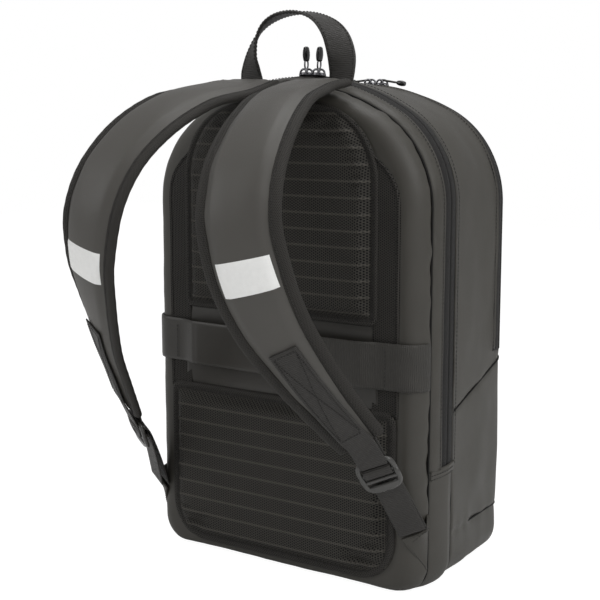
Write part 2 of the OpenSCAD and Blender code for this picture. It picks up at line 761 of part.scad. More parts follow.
back_panel();
rear_gusset();
lower_tub();
fold_panel();
frame_sheet();
base_board();
laptop_sleeve();
upper_back_pad();
lower_back_pad();
channel_panel();
left_mesh_border();
right_mesh_border();
trolley_band();
main_zip_rear_tape();
left_anchor();
right_anchor();
left_webbing();
right_webbing();
front_shell();
divider();
organiser_pocket();
main_zip_front_tape();
front_zip_rear_tape();
front_panel();
front_zip_front_tape();
main_slider_left();
main_slider_right();
main_puller_left();
main_puller_right();
front_slider_left();
front_slider_right();
front_puller_left();
front_puller_right();
grab_handle();
strap_pad_left();
strap_pad_right();
strap_binding_left();
strap_binding_right();
strap_label_left();
strap_label_right();
strap_tab_left();
strap_tab_right();
buckle_left();
buckle_right();
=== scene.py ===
"""School backpack: the looks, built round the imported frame. Metres, wearer's side at -Y, base on z = 0."""
import json
import math
import bpy
import bmesh
import numpy as np
from mathutils import Matrix, Vector, noise
from mathutils.bvhtree import BVHTree


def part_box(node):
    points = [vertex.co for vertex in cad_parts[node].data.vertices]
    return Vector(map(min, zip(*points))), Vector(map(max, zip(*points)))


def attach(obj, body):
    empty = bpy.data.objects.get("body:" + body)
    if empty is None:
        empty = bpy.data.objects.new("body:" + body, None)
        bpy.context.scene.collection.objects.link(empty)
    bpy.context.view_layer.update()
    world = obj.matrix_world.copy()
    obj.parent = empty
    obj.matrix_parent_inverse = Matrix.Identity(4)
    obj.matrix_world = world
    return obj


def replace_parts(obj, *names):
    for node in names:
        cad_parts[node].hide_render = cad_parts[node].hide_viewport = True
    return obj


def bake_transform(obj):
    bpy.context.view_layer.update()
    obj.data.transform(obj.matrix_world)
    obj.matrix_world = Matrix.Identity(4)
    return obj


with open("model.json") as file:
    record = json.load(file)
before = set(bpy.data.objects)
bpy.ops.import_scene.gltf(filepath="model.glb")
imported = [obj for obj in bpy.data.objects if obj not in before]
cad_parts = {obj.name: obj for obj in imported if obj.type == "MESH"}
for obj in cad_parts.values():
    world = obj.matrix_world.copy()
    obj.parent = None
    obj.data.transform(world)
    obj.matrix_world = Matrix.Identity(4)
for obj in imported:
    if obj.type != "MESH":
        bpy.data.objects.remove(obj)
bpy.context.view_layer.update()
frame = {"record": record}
scene = bpy.context.scene
scene.view_settings.view_transform = "Standard"
MM = 0.001
SIDE_WORD = {-1: "left", 1: "right"}
BACKWARD = (0, -1, 0)

# ---------------------------------------------------------------- sizes read from the frame
PAD_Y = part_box("back_panel")[0].y
BACK = PAD_Y + 0.018
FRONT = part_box("front_panel")[1].y
HALF = round(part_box("rear_gusset")[1].x, 3)
TOP = round(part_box("rear_gusset")[1].z, 3)
TAPE_Y0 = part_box("main_zip_rear_tape")[0].y
ZIP_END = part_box("main_zip_rear_tape")[0].z
TAPE_Y1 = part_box("main_zip_front_tape")[1].y
ZIP_Y = (TAPE_Y0 + TAPE_Y1) / 2
FZIP_Y0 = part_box("front_zip_rear_tape")[0].y
FZIP_Y1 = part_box("front_zip_front_tape")[1].y
FZIP_Y = (FZIP_Y0 + FZIP_Y1) / 2
FLAP_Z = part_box("front_panel")[0].z
DIVIDER_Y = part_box("divider")[0].y
CROWN_R, CORNER_R, BASE_R, FRONT_ROUND = 0.200, 0.095, 0.024, 0.018
SIDE_DRAW, TOP_DROP, BACK_DRAW, BACK_DROP = 0.007, 0.010, 0.003, 0.006
FOLD_FRONT_Z = FLAP_Z - 0.006
SEAM_BACK_Y = BACK + 0.0030
CUSHION_SIDE, CUSHION_TOP, CUSHION_BASE = 0.020, 0.016, 0.008


def smoothstep(x):
    x = np.clip(x, 0, 1)
    return x * x * (3 - 2 * x)


def distances(points):
    """Distance along a row of points, from its first."""
    return np.concatenate([[0], np.cumsum(np.linalg.norm(np.diff(points, axis=0), axis=1))])


def smoothnoise(p, seed=0.0):
    """Noise from -1 to 1 at each row of p, an (n, 3) array."""
    return np.array([noise.noise(Vector((a[0] + seed, a[1] - seed, a[2] + 2 * seed))) for a in p])


# ---------------------------------------------------------------- the bag's outline at each depth
def forward(y):
    return max(0, y - ZIP_Y) / (FRONT - ZIP_Y)


def rearward(y):
    return max(0, ZIP_Y - y) / (ZIP_Y - BACK)


def rounding(y):
    past = y - (FRONT - FRONT_ROUND)
    return 0 if past <= 0 else FRONT_ROUND - math.sqrt(max(0, FRONT_ROUND ** 2 - past ** 2))


def half_width(y):
    return HALF - SIDE_DRAW * forward(y) - BACK_DRAW * rearward(y) - rounding(y)


def top_height(y):
    return TOP - TOP_DROP * forward(y) - BACK_DROP * rearward(y) - rounding(y)


def arc(x, z, r, a0, a1, n):
    return [(x + r * math.cos(math.radians(a0 + (a1 - a0) * i / n)),
             z + r * math.sin(math.radians(a0 + (a1 - a0) * i / n))) for i in range(n + 1)]


N_BOTTOM, N_BASE, N_LOW, N_MID, N_SIDE, N_CORNER, N_CROWN = 26, 10, 34, 38, 60, 40, 44
ZIP_COLUMN = N_BOTTOM + N_BASE + N_LOW
FLAP_COLUMN = ZIP_COLUMN + N_MID


def outline(y, d=0.0):
    """Closed outline at depth y, drawn in by d: column i means the same place at every depth."""
    half, top, base = half_width(y) - d, top_height(y) - d, rounding(y) + d
    crown, corner, foot = CROWN_R - d, max(0.002, CORNER_R - d), max(0.001, BASE_R - d)
    a = math.degrees(math.asin((half - corner) / (crown - corner)))
    corner_z = top - crown + (crown - corner) * math.cos(math.radians(a))
    pts = [((half - foot) * i / N_BOTTOM, base) for i in range(N_BOTTOM)]
    pts += arc(half - foot, base + foot, foot, -90, 0, N_BASE)[:-1]
    z0, z1 = base + foot, max(ZIP_END, base + foot + 0.01)
    pts += [(half, z0 + (z1 - z0) * i / N_LOW) for i in range(N_LOW)]
    pts += [(half, z1 + (FLAP_Z - z1) * i / N_MID) for i in range(N_MID)]
    pts += [(half, FLAP_Z + (corner_z - FLAP_Z) * i / N_SIDE) for i in range(N_SIDE)]
    pts += arc(half - corner, corner_z, corner, 0, 90 - a, N_CORNER)[:-1]
    pts += arc(0, top - crown, crown, 90 - a, 90, N_CROWN)
    return np.array(pts + [(-x, z) for x, z in pts[-2::-1]])


HALF_COLUMNS = N_BOTTOM + N_BASE + N_LOW + N_MID + N_SIDE + N_CORNER + N_CROWN
COLUMNS = 2 * HALF_COLUMNS + 1
S = distances(outline(ZIP_Y))
UPPER = np.arange(ZIP_COLUMN, COLUMNS - ZIP_COLUMN)
LOWER = np.concatenate([np.arange(COLUMNS - 1 - ZIP_COLUMN, COLUMNS - 1), np.arange(ZIP_COLUMN + 1)])
FLAP = np.arange(FLAP_COLUMN, COLUMNS - FLAP_COLUMN)
UNDER_FLAP = np.concatenate([np.arange(COLUMNS - 1 - FLAP_COLUMN, COLUMNS - 1), np.arange(FLAP_COLUMN + 1)])


def uv_grid(along, across):
    return np.stack(np.broadcast_arrays(along[None, :], across[:, None]), axis=-1)


def grid_normals(p):
    n = np.cross(np.gradient(p, axis=1), np.gradient(p, axis=0))
    return n / np.maximum(np.linalg.norm(n, axis=-1, keepdims=True), 1e-12)


def wall(depths, columns):
    """Grid over the bag's wall: a row for each depth; points, outward normals and UVs in metres."""
    p = np.array([[(x, y, z) for x, z in outline(y)] for y in depths])
    n = -grid_normals(p)
    ends = n[:, 0] + n[:, -1]
    n[:, 0] = n[:, -1] = ends / np.linalg.norm(ends, axis=-1, keepdims=True)
    s = np.where((columns >= HALF_COLUMNS) & (columns[-1] < HALF_COLUMNS), S[columns] - S[-1], S[columns])
    return p[:, columns], n[:, columns], uv_grid(s, distances(p[:, ZIP_COLUMN + 20]))


def pucker(s, d, depth, reach, pitch=0.011, seed=0.0):
    """How far fabric sinks at distance d from a seam, gathered along it at s."""
    wave = np.array([noise.noise(Vector((x / pitch * 0.9 + seed, seed, 0.3))) for x in np.ravel(s)])
    wave = wave.reshape(np.shape(s))
    return -depth * np.exp(-np.abs(d) / reach) * (0.55 + 0.9 * wave) - 0.0011 * np.exp(-(d / 0.0012) ** 2)


BACK_HALF, BACK_TOP = half_width(BACK), top_height(BACK)


# ---------------------------------------------------------------- materials
def linear(level):
    """Linear light of a display level from 0 to 255."""
    c = level / 255
    return c / 12.92 if level <= 10 else ((c + 0.055) / 1.055) ** 2.4


def rgb(r, g, b):
    return (linear(r), linear(g), linear(b), 1)


class Surface:
    """A principled material with helpers for procedural nodes on the metre-scaled UV map."""

    def __init__(self, name, rough=0.5, metal=0.0, **sockets):
        self.material = bpy.data.materials.new(name)
        self.material.use_nodes = True
        self.tree = self.material.node_tree
        self.bsdf = self.tree.nodes["Principled BSDF"]
        self.bsdf.inputs["Roughness"].default_value = rough
        self.bsdf.inputs["Metallic"].default_value = metal
        for key, value in sockets.items():
            self.bsdf.inputs[key.replace("_", " ")].default_value = value
        self.uv = self.node("ShaderNodeTexCoord").outputs["UV"]
        split = self.node("ShaderNodeSeparateXYZ", self.uv)
        self.x, self.y = split.outputs[0], split.outputs[1]
        self.place = self.node("ShaderNodeTexCoord").outputs["Object"]

    def node(self, kind, *inputs, **settings):
        made = self.tree.nodes.new(kind)
        for key, value in settings.items():
            setattr(made, key, value)
        for socket, value in zip(made.inputs, inputs):
            self.feed(socket, value)
        return made

    def feed(self, socket, value):
        if hasattr(value, "is_output") or isinstance(value, bpy.types.NodeSocket):
            self.tree.links.new(value, socket)
        elif value is not None:
            socket.default_value = value

    def math(self, op, a, b=None, c=None):
        return self.node("ShaderNodeMath", a, b, c, operation=op).outputs[0]

    def weighted(self, a, share_a, b, share_b):
        return self.math("ADD", self.math("MULTIPLY", a, share_a), self.math("MULTIPLY", b, share_b))

    def stripe(self, axis, pitch, phase=0.0):
        return self.math("SINE", self.math("MULTIPLY_ADD", axis, 2 * math.pi / pitch, phase))

    def noise(self, scale, detail=2.0, vector=None):
        made = self.node("ShaderNodeTexNoise")
        self.feed(made.inputs["Vector"], self.uv if vector is None else vector)
        made.inputs["Scale"].default_value = scale
        made.inputs["Detail"].default_value = detail
        return made.outputs["Fac"]

    def range(self, value, a, b, c, d):
        made = self.node("ShaderNodeMapRange", value)
        for i, bound in enumerate((a, b, c, d)):
            made.inputs[i + 1].default_value = bound
        return made.outputs[0]

    def mix(self, factor, a, b):
        made = self.node("ShaderNodeMix", data_type="RGBA")
        self.feed(made.inputs["Factor"], factor)
        self.feed(made.inputs["A"], a)
        self.feed(made.inputs["B"], b)
        return made.outputs["Result"]

    def colour(self, factor, a, b):
        self.feed(self.bsdf.inputs["Base Color"], self.mix(factor, a, b))

    def roughness(self, value):
        self.feed(self.bsdf.inputs["Roughness"], value)

    def bump(self, *layers):
        """Each layer is a height, its strength and its depth in metres."""
        normal = None
        for height, strength, depth in layers:
            made = self.node("ShaderNodeBump")
            made.inputs["Strength"].default_value = strength
            made.inputs["Distance"].default_value = depth
            self.feed(made.inputs["Height"], height)
            if normal is not None:
                self.feed(made.inputs["Normal"], normal)
            normal = made.outputs["Normal"]
        self.feed(self.bsdf.inputs["Normal"], normal)


def coated_fabric(name, dark, light, rough=0.46):
    """Fine plain weave under a thin matt coating, with a faint crease and grain variation."""
    m = Surface(name, rough=rough, Specular_IOR_Level=0.32)
    weave = m.math("MULTIPLY", m.stripe(m.x, 0.0007), m.stripe(m.y, 0.0007))
    grain = m.noise(900, 3)
    cloud = m.noise(22, 4)
    m.colour(m.weighted(cloud, 0.7, grain, 0.3), dark, light)
    m.roughness(m.range(m.weighted(grain, 0.4, cloud, 0.6), 0.3, 0.7, rough - 0.06, rough + 0.09))
    m.bump((cloud, 0.35, 0.0012), (grain, 0.25, 0.00012), (weave, 0.3, 0.00006))
    return m.material


def open_mesh(name, pitch, strand, hole_shade, openness=0.35, rough=0.7, ribs=None):
    """Knitted spacer mesh: rows of near-black holes, painted shade inside the openings, between twisted
    strands; with ribs, a painted highlight of paler yarn and fewer holes along each rib's crest.
    """
    m = Surface(name, rough=rough, Specular_IOR_Level=0.3)
    k = 2 * math.pi / pitch
    waves = []
    for a in (0, 120, 240):
        u = m.math("MULTIPLY", m.x, k * math.cos(math.radians(a)))
        waves.append(m.math("COSINE", m.math("MULTIPLY_ADD", m.y, k * math.sin(math.radians(a)), u)))
    total = m.math("ADD", m.math("ADD", waves[0], waves[1]), waves[2])
    gap = m.range(total, openness, openness + 1.3, 0, 1)
    knit = m.noise(1600, 2)
    yarn = m.mix(m.noise(30, 3), strand, [c * 1.35 for c in strand[:3]] + [1])
    # with ribs, paler yarn and fewer dark holes on each rib's crest: painted highlight where the rib tops catch
    # the light
    if ribs:
        spacing, first = ribs
        lit_crests = m.stripe(m.y, spacing, math.pi / 2 - 2 * math.pi * first / spacing)
        rib = m.range(lit_crests, 0.82, 1.0, 0, 1)
        yarn = m.mix(rib, yarn, [c * 2.1 for c in strand[:3]] + [1])
        gap = m.math("MULTIPLY", gap, m.range(rib, 0, 1, 1, 0.45))
    # the holes take the near-black colour given for them: painted shade inside the openings
    m.colour(gap, yarn, hole_shade)
    m.roughness(m.range(gap, 0, 1, rough, 0.95))
    m.bump((m.math("SUBTRACT", 1.0, gap), 1.0, 0.0009), (knit, 0.4, 0.0001))
    return m.material


def webbing(name, dark, light, pitch=0.0016, rough=0.5):
    """Ribbed webbing: rows across, each broken by its weave, with thread tops painted lighter and the dips
    between them painted darker, as highlight and shade.
    """
    m = Surface(name, rough=rough, Sheen_Weight=0.05, Sheen_Roughness=0.35, Specular_IOR_Level=0.3)
    rows = m.stripe(m.x, pitch)
    zig = m.stripe(m.math("ADD", m.x, m.math("MULTIPLY", m.y, 0.8)), pitch * 1.3)
    cross = m.stripe(m.y, 0.0021)
    height = m.weighted(rows, 0.55, m.math("MULTIPLY", zig, cross), 0.45)
    # colour follows the weave's height: painted highlight on thread tops and painted shade in the dips, mixed
    # with random tone
    m.colour(m.weighted(m.range(height, -1, 1, 0, 1), 0.6, m.noise(60, 3), 0.4), dark, light)
    m.roughness(m.range(m.noise(300, 2), 0.3, 0.7, rough - 0.08, rough + 0.1))
    m.bump((height, 0.6, 0.00035), (m.noise(1500, 2), 0.3, 0.0001))
    return m.material


def woven(name, dark, light, pitch=0.0009, rough=0.75, depth=0.00012, sheen=0.05):
    """Fine woven lining, tape or label cloth."""
    m = Surface(name, rough=rough, Sheen_Weight=sheen, Specular_IOR_Level=0.25)
    weave = m.math("MULTIPLY", m.stripe(m.x, pitch), m.stripe(m.y, pitch))
    slub = m.noise(260, 4)
    # colour partly follows the weave's height: painted highlight on the raised weave and painted shade in its
    # dips; the slub share is random tone
    m.colour(m.weighted(m.range(weave, -1, 1, 0, 1), 0.45, slub, 0.55), dark, light)
    m.bump((weave, 0.5, depth), (slub, 0.3, depth * 2))
    return m.material


def moulded(name, dark, light, rough, metal=0.0, coat=0.0, grain=700):
    """Moulded plastic or cast metal with a fine skin, handling marks and duller patches."""
    m = Surface(name, rough=rough, metal=metal, Coat_Weight=coat, Coat_Roughness=0.15)
    marks = m.noise(90, 5, m.place)
    m.colour(marks, dark, light)
    m.roughness(m.range(marks, 0.3, 0.7, rough - 0.06, rough + 0.12))
    m.bump((m.noise(grain, 3, m.place), 0.2, 0.00008), (marks, 0.15, 0.0003))
    return m.material


CLOTH = coated_fabric("cloth", rgb(54, 52, 48), rgb(68, 66, 61))
CLOTH_DARK = coated_fabric("cloth_dark", rgb(46, 44, 41), rgb(60, 58, 54))
STRAP_CLOTH = coated_fabric("strap_cloth", rgb(64, 62, 59), rgb(78, 76, 72), rough=0.44)
SATIN = coated_fabric("satin", rgb(42, 40, 37), rgb(58, 56, 52), rough=0.34)
# the near-black second colours of mesh and binding are painted shade inside their openings
MESH = open_mesh("mesh", 0.0019, rgb(44, 42, 39), rgb(4, 4, 4), openness=0.0)
BINDING = open_mesh("binding", 0.0013, rgb(48, 46, 43), rgb(7, 7, 7), openness=0.15)
WEBBING = webbing("webbing", rgb(28, 27, 26), rgb(58, 56, 53))
WEBBING_DARK = webbing("webbing_dark", rgb(34, 33, 31), rgb(68, 66, 62), rough=0.4)
TAPE = woven("tape", rgb(17, 16, 16), rgb(28, 27, 26), pitch=0.0008, rough=0.7, depth=0.0002)
COIL = moulded("coil", rgb(20, 20, 19), rgb(32, 31, 30), 0.42)
# near-black cloth for the tubes in the seams' grooves: painted shade for those crevices
SEAM_SHADE = woven("seam", rgb(10, 10, 9), rgb(18, 17, 16), sheen=0.0)
LINING = woven("lining", rgb(96, 97, 99), rgb(124, 125, 127), pitch=0.0008)
LINING_DARK = woven("lining_dark", rgb(52, 53, 55), rgb(70, 71, 73), pitch=0.0010)
METAL = moulded("gunmetal", rgb(96, 96, 99), rgb(140, 140, 144), 0.26, metal=1.0)
PLASTIC = moulded("plastic", rgb(46, 45, 43), rgb(62, 61, 58), 0.3, coat=0.25)
RUBBER = moulded("rubber", rgb(18, 18, 19), rgb(30, 30, 30), 0.28, coat=0.3)
LABEL = woven("label", rgb(222, 222, 220), rgb(242, 242, 240), pitch=0.0007, rough=0.55, depth=0.00008,
              sheen=0.1)
THREAD = webbing("thread", rgb(22, 21, 20), rgb(44, 42, 40), pitch=0.0006)


# ---------------------------------------------------------------- mesh building
def make(name, verts, faces, material, uvs=None):
    mesh = bpy.data.meshes.new(name)
    mesh.from_pydata([tuple(v) for v in verts], [], faces)
    if uvs is not None:
        layer = mesh.uv_layers.new(name="UVMap")
        index = np.empty(len(mesh.loops), int)
        mesh.loops.foreach_get("vertex_index", index)
        layer.data.foreach_set("uv", np.asarray(uvs, np.float32)[index].ravel())
    mesh.polygons.foreach_set("use_smooth", [True] * len(mesh.polygons))
    mesh.materials.append(material)
    made = bpy.data.objects.new(name, mesh)
    scene.collection.objects.link(made)
    return made


def grid_faces(rows, cols):
    """Four-sided faces of a grid whose points run row by row."""
    corners = [r * cols + c for r in range(rows - 1) for c in range(cols - 1)]
    return [(i, i + 1, i + cols + 1, i + cols) for i in corners]


def grid(name, p, uv, material):
    return make(name, p.reshape(-1, 3), grid_faces(*p.shape[:2]), material, uv.reshape(-1, 2))


def edit(made, work):
    """Lets work change the piece's mesh."""
    bm = bmesh.new()
    bm.from_mesh(made.data)
    work(bm)
    bm.to_mesh(made.data)
    bm.free()
    return made


def clean(made, distance=1e-6):
    """Joins doubled points and drops faces without area."""
    def work(bm):
        bmesh.ops.remove_doubles(bm, verts=bm.verts, dist=distance)
        bmesh.ops.dissolve_degenerate(bm, edges=bm.edges, dist=1e-7)
    return edit(made, work)


def outward(made):
    """Turns the faces of a closed mesh outward."""
    return edit(made, lambda bm: bmesh.ops.recalc_face_normals(bm, faces=bm.faces))


def outward_from(made, middle):
    """Turns an open shell's faces away from a point inside it."""
    def work(bm):
        bmesh.ops.recalc_face_normals(bm, faces=bm.faces)
        total = sum(f.normal.dot(f.calc_center_median() - Vector(middle)) * f.calc_area() for f in bm.faces)
        if total < 0:
            bmesh.ops.reverse_faces(bm, faces=bm.faces)
    return edit(made, work)


def join(name, parts):
    with bpy.context.temp_override(active_object=parts[0], selected_objects=parts,
                                   selected_editable_objects=parts):
        bpy.ops.object.join()
    parts[0].name = name
    parts[0].data.name = name
    return parts[0]


def ray_tree(made):
    mesh = made.data
    return BVHTree.FromPolygons([v.co for v in mesh.vertices], [tuple(p.vertices) for p in mesh.polygons])


def apply_modifiers(made):
    dg = bpy.context.evaluated_depsgraph_get()
    mesh = bpy.data.meshes.new_from_object(made.evaluated_get(dg))
    old = made.data
    made.modifiers.clear()
    made.data = mesh
    bpy.data.meshes.remove(old)
    return made


def thicken(made, t, inner=None):
    """Gives a sheet its thickness on the side away from its normals; the inner face may differ."""
    m = made.modifiers.new("thick", "SOLIDIFY")
    m.thickness = t
    m.offset = -1
    m.use_even_offset = False
    if inner:
        made.data.materials.append(inner)
        m.material_offset = 1
    return apply_modifiers(made)


def sheet_grid(name, p, uv, material, t=0.0012, inner=None):
    made = clean(grid(name, p, uv, material))
    return thicken(made, t, inner) if t else made


def sweep(name, centres, across, face, section, material):
    """Sweeps a closed section, points (across, out), along centres, and closes both ends."""
    centres, across, face = (np.array([tuple(v) for v in a]) for a in (centres, across, face))
    section = np.asarray(section, float)
    if section.ndim == 2:
        section = np.repeat(section[None], len(centres), axis=0)
    p = (centres[:, None] + across[:, None] * section[:, :, 0:1] + face[:, None] * section[:, :, 1:2])
    p = np.concatenate([p, p[:, :1]], axis=1)
    uv = np.stack(np.broadcast_arrays(distances(centres)[:, None], distances(p[0])[None, :]), axis=-1)
    rows, cols = p.shape[:2]
    faces = grid_faces(rows, cols)
    faces += [tuple(range(cols - 1))[::-1], tuple((rows - 1) * cols + c for c in range(cols - 1))]
    return outward(clean(make(name, p.reshape(-1, 3), faces, material, uv.reshape(-1, 2))))


def band_section(w, t, n=8, crown=0.0):
    """Flat webbing section with rounded edges."""
    xs = [-w / 2 + w * i / n for i in range(n + 1)]
    face = [(x, t / 2 + crown * (1 - (2 * x / w) ** 2)) for x in xs]
    back = [(x, -t / 2 + crown * (1 - (2 * x / w) ** 2)) for x in xs[::-1]]
    face[0], face[-1] = (xs[0] + t * 0.2, t * 0.36), (xs[-1] - t * 0.2, t * 0.36)
    back[0], back[-1] = (xs[-1] - t * 0.2, -t * 0.36), (xs[0] + t * 0.2, -t * 0.36)
    return face + [(w / 2, 0)] + back + [(-w / 2, 0)]


def unit(v):
    return v / np.linalg.norm(v)


def spline(points, steps):
    """Smooth curve through rows of points, the same as the frame's own."""
    rows = [np.asarray(p, float) for p in points]
    last = len(rows) - 1
    out = []
    for i in range(last):
        a, b, c, d = rows[max(0, i - 1)], rows[i], rows[i + 1], rows[min(last, i + 2)]
        for k in range(steps):
            t = k / steps
            out.append((2 * b + (c - a) * t + (2 * a - 5 * b + 4 * c - d) * t * t
                        + (3 * b - a - 3 * c + d) * t ** 3) / 2)
    return np.array(out + [rows[last]])


def unit_rows(v):
    return v / np.linalg.norm(v, axis=1, keepdims=True)


def tangents(p):
    return unit_rows(np.gradient(p, axis=0))


def mirrored(made, name):
    mesh = made.data.copy()
    mesh.transform(Matrix.Scale(-1, 4, (1, 0, 0)))
    mesh.flip_normals()
    twin = bpy.data.objects.new(name, mesh)
    scene.collection.objects.link(twin)
    return twin


# ---------------------------------------------------------------- stitching
STITCHES = {}


def stitch(group, points, normals, pitch=0.0036, length=0.0026, radius=0.00038, lift=0.00015):
    """Lays thread stitches along a line on a surface, with one normal or a row of them, in a group."""
    points = np.asarray(points, float)
    normals = np.array(np.broadcast_to(np.asarray(normals, float), points.shape))
    s = distances(points)
    verts, faces, uvs = STITCHES.setdefault(group, ([], [], []))
    for k in range(int(s[-1] / pitch)):
        ends = []
        for q in (k * pitch + (pitch - length) / 2, k * pitch + (pitch + length) / 2):
            ends.append(np.array([np.interp(q, s, points[:, i]) for i in range(3)]))
        n = unit(np.array([np.interp(k * pitch + pitch / 2, s, normals[:, i]) for i in range(3)]))
        along = unit(ends[1] - ends[0])
        side = np.cross(along, n)
        start = len(verts)
        for t, r, up in ((0, 0.25, -0.6), (0.2, 0.9, 0.1), (0.8, 0.9, 0.1), (1, 0.25, -0.6)):
            c = ends[0] + (ends[1] - ends[0]) * t + n * (lift + up * radius)
            for j in range(6):
                a = math.pi / 3 * j
                verts.append(c + side * (math.cos(a) * radius * r) + n * (math.sin(a) * radius * r))
                uvs.append((k * pitch + length * t, j * radius))
        for ring in range(3):
            for j in range(6):
                a, b = start + ring * 6 + j, start + ring * 6 + (j + 1) % 6
                faces.append((a, b, b + 6, a + 6))
        faces.append(tuple(start + j for j in range(6))[::-1])
        faces.append(tuple(start + 18 + j for j in range(6)))


def lay_stitches(group, name):
    verts, faces, uvs = STITCHES.pop(group)
    return outward(make(name, verts, faces, THREAD, uvs))


# ---------------------------------------------------------------- camera and stage
camera = bpy.data.objects.new("camera", bpy.data.cameras.new("camera"))
scene.collection.objects.link(camera)
camera.location = (0.6784, -1.0415, 0.4356)
camera.rotation_euler = (math.radians(81.1), 0, math.radians(34.7))
camera.data.lens = 77.8
camera.data.sensor_width = 36
scene.camera = camera


def stage():
    m = bpy.data.materials.new("floor")
    m.use_nodes = True
    tree = m.node_tree
    bsdf = tree.nodes["Principled BSDF"]
    bsdf.inputs["Base Color"].default_value = (0.93, 0.93, 0.93, 1)
    bsdf.inputs["Roughness"].default_value = 0.6
    # where the camera sees the floor, its own colour is brighter, so that it runs into the white backdrop
    glow = tree.nodes.new("ShaderNodeEmission")
    glow.inputs["Color"].default_value = (1, 1, 1, 1)
    path = tree.nodes.new("ShaderNodeLightPath")
    share = tree.nodes.new("ShaderNodeMath")
    share.operation = "MULTIPLY"
    tree.links.new(path.outputs["Is Camera Ray"], share.inputs[0])
    share.inputs[1].default_value = 0.8
    glow.inputs["Strength"].default_value = 1.2
    mixed = tree.nodes.new("ShaderNodeMixShader")
    tree.links.new(share.outputs[0], mixed.inputs[0])
    tree.links.new(bsdf.outputs[0], mixed.inputs[1])
    tree.links.new(glow.outputs[0], mixed.inputs[2])
    tree.links.new(mixed.outputs[0], tree.nodes["Material Output"].inputs["Surface"])
    floor = make("floor", [(-3, -3, 0), (3, -3, 0), (3, 3, 0), (-3, 3, 0)], [(0, 1, 2, 3)], m)
    world = bpy.data.worlds.new("studio")
    scene.world = world
    world.use_nodes = True
    nodes, links = world.node_tree.nodes, world.node_tree.links
    plain = nodes["Background"]
    plain.inputs["Color"].default_value = (1, 1, 1, 1)
    plain.inputs["Strength"].default_value = 0.48
    seen = nodes.new("ShaderNodeBackground")
    seen.inputs["Color"].default_value = (1, 1, 1, 1)
    seen.inputs["Strength"].default_value = 1.0
    path = nodes.new("ShaderNodeLightPath")
    blend = nodes.new("ShaderNodeMixShader")
    links.new(path.outputs["Is Camera Ray"], blend.inputs[0])
    links.new(plain.outputs[0], blend.inputs[1])
    links.new(seen.outputs[0], blend.inputs[2])
    links.new(blend.outputs[0], nodes["World Output"].inputs["Surface"])


def lamp(name, place, aim, size, power):
    data = bpy.data.lights.new(name, "AREA")
    data.shape = "RECTANGLE"
    data.size, data.size_y = size
    data.energy = power
    made = bpy.data.objects.new(name, data)
    scene.collection.objects.link(made)
    made.location = place
    made.rotation_euler = (Vector(aim) - Vector(place)).to_track_quat("-Z", "Y").to_euler()


stage()
lamp("key", (1.5, -0.5, 1.3), (0, 0, 0.25), (0.9, 1.2), 14)
lamp("left", (-1.3, -1.3, 1.1), (0, 0, 0.25), (0.7, 1.2), 7)
lamp("top", (0.1, 0.1, 1.8), (0, 0, 0.3), (1.2, 0.9), 10)


# ---------------------------------------------------------------- inflating pads
SIMULATED_FRAMES = 20


def inflate(name, polygon, thickness, pressure=4.0, cap=0.008, voxel=0.005):
    """Blows up a flat pad with cloth simulation; returns a height lookup over its plane, in metres."""
    polygon = [Vector((x, z)) for x, z in polygon]
    n = len(polygon)
    verts = [(p.x, p.y, 0) for p in polygon] + [(p.x, p.y, thickness) for p in polygon]
    faces = [tuple(range(n))[::-1], tuple(range(n, 2 * n))]
    faces += [(i, (i + 1) % n, n + (i + 1) % n, n + i) for i in range(n)]
    made = make(name, verts, faces, CLOTH)
    m = made.modifiers.new("remesh", "REMESH")
    m.mode = "VOXEL"
    m.voxel_size = voxel
    apply_modifiers(made)
    rest = np.array([v.co for v in made.data.vertices])
    group = made.vertex_groups.new(name="pin")
    group.add([i for i, c in enumerate(rest) if c[2] < 0.3 * thickness], 1.0, "REPLACE")
    cloth = made.modifiers.new("cloth", "CLOTH")
    cloth.settings.use_pressure = True
    cloth.settings.uniform_pressure_force = pressure
    cloth.settings.effector_weights.gravity = 0
    cloth.settings.vertex_group_mass = "pin"
    cloth.settings.quality = 4
    cloth.point_cache.frame_start, cloth.point_cache.frame_end = 1, SIMULATED_FRAMES
    for f in range(1, SIMULATED_FRAMES + 1):
        scene.frame_set(f)
    apply_modifiers(made)
    moved = np.array([v.co for v in made.data.vertices]) - rest
    far = np.linalg.norm(moved, axis=1, keepdims=True)
    final = rest + moved * np.minimum(1, cap / np.maximum(far, 1e-9))
    made.data.vertices.foreach_set("co", final.astype(np.float32).ravel())
    scene.frame_set(1)
    m = made.modifiers.new("finer", "SUBSURF")
    m.levels = m.render_levels = 1
    apply_modifiers(made)
    made.data.update()
    tree = ray_tree(made)
    bpy.data.objects.remove(made)

    def height(x, z):
        hit = tree.ray_cast(Vector((x, z, 0.2)), Vector((0, 0, -1)))[0]
        return hit.z if hit else 0.0
    return height


# ---------------------------------------------------------------- shell of the bag
def lifted(p, n, lift):
    moved = p + n * np.asarray(lift)[..., None]
    moved[..., 2] = np.maximum(moved[..., 2], 0.0003)
    return moved


def on_front(made):
    """Bakes a front piece's placement into its mesh."""
    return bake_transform(made)


def on_flap(made):
    """Bakes a flap piece's placement into its mesh."""
    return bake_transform(made)


def broad_wrinkles(p, depth, seed):
    q = p.reshape(-1, 3) * (9.0, 22.0, 13.0)
    r = p.reshape(-1, 3) * (26.0, 48.0, 34.0)
    return (depth * smoothnoise(q, seed) + 0.35 * depth * smoothnoise(r, seed + 5)).reshape(p.shape[:-1])


CLOTH_T = 0.0014
MERGE = 0.00004
BOOT_Z = 0.046
DIAGONAL_Z0, DIAGONAL_Z1 = 0.157, FOLD_FRONT_Z


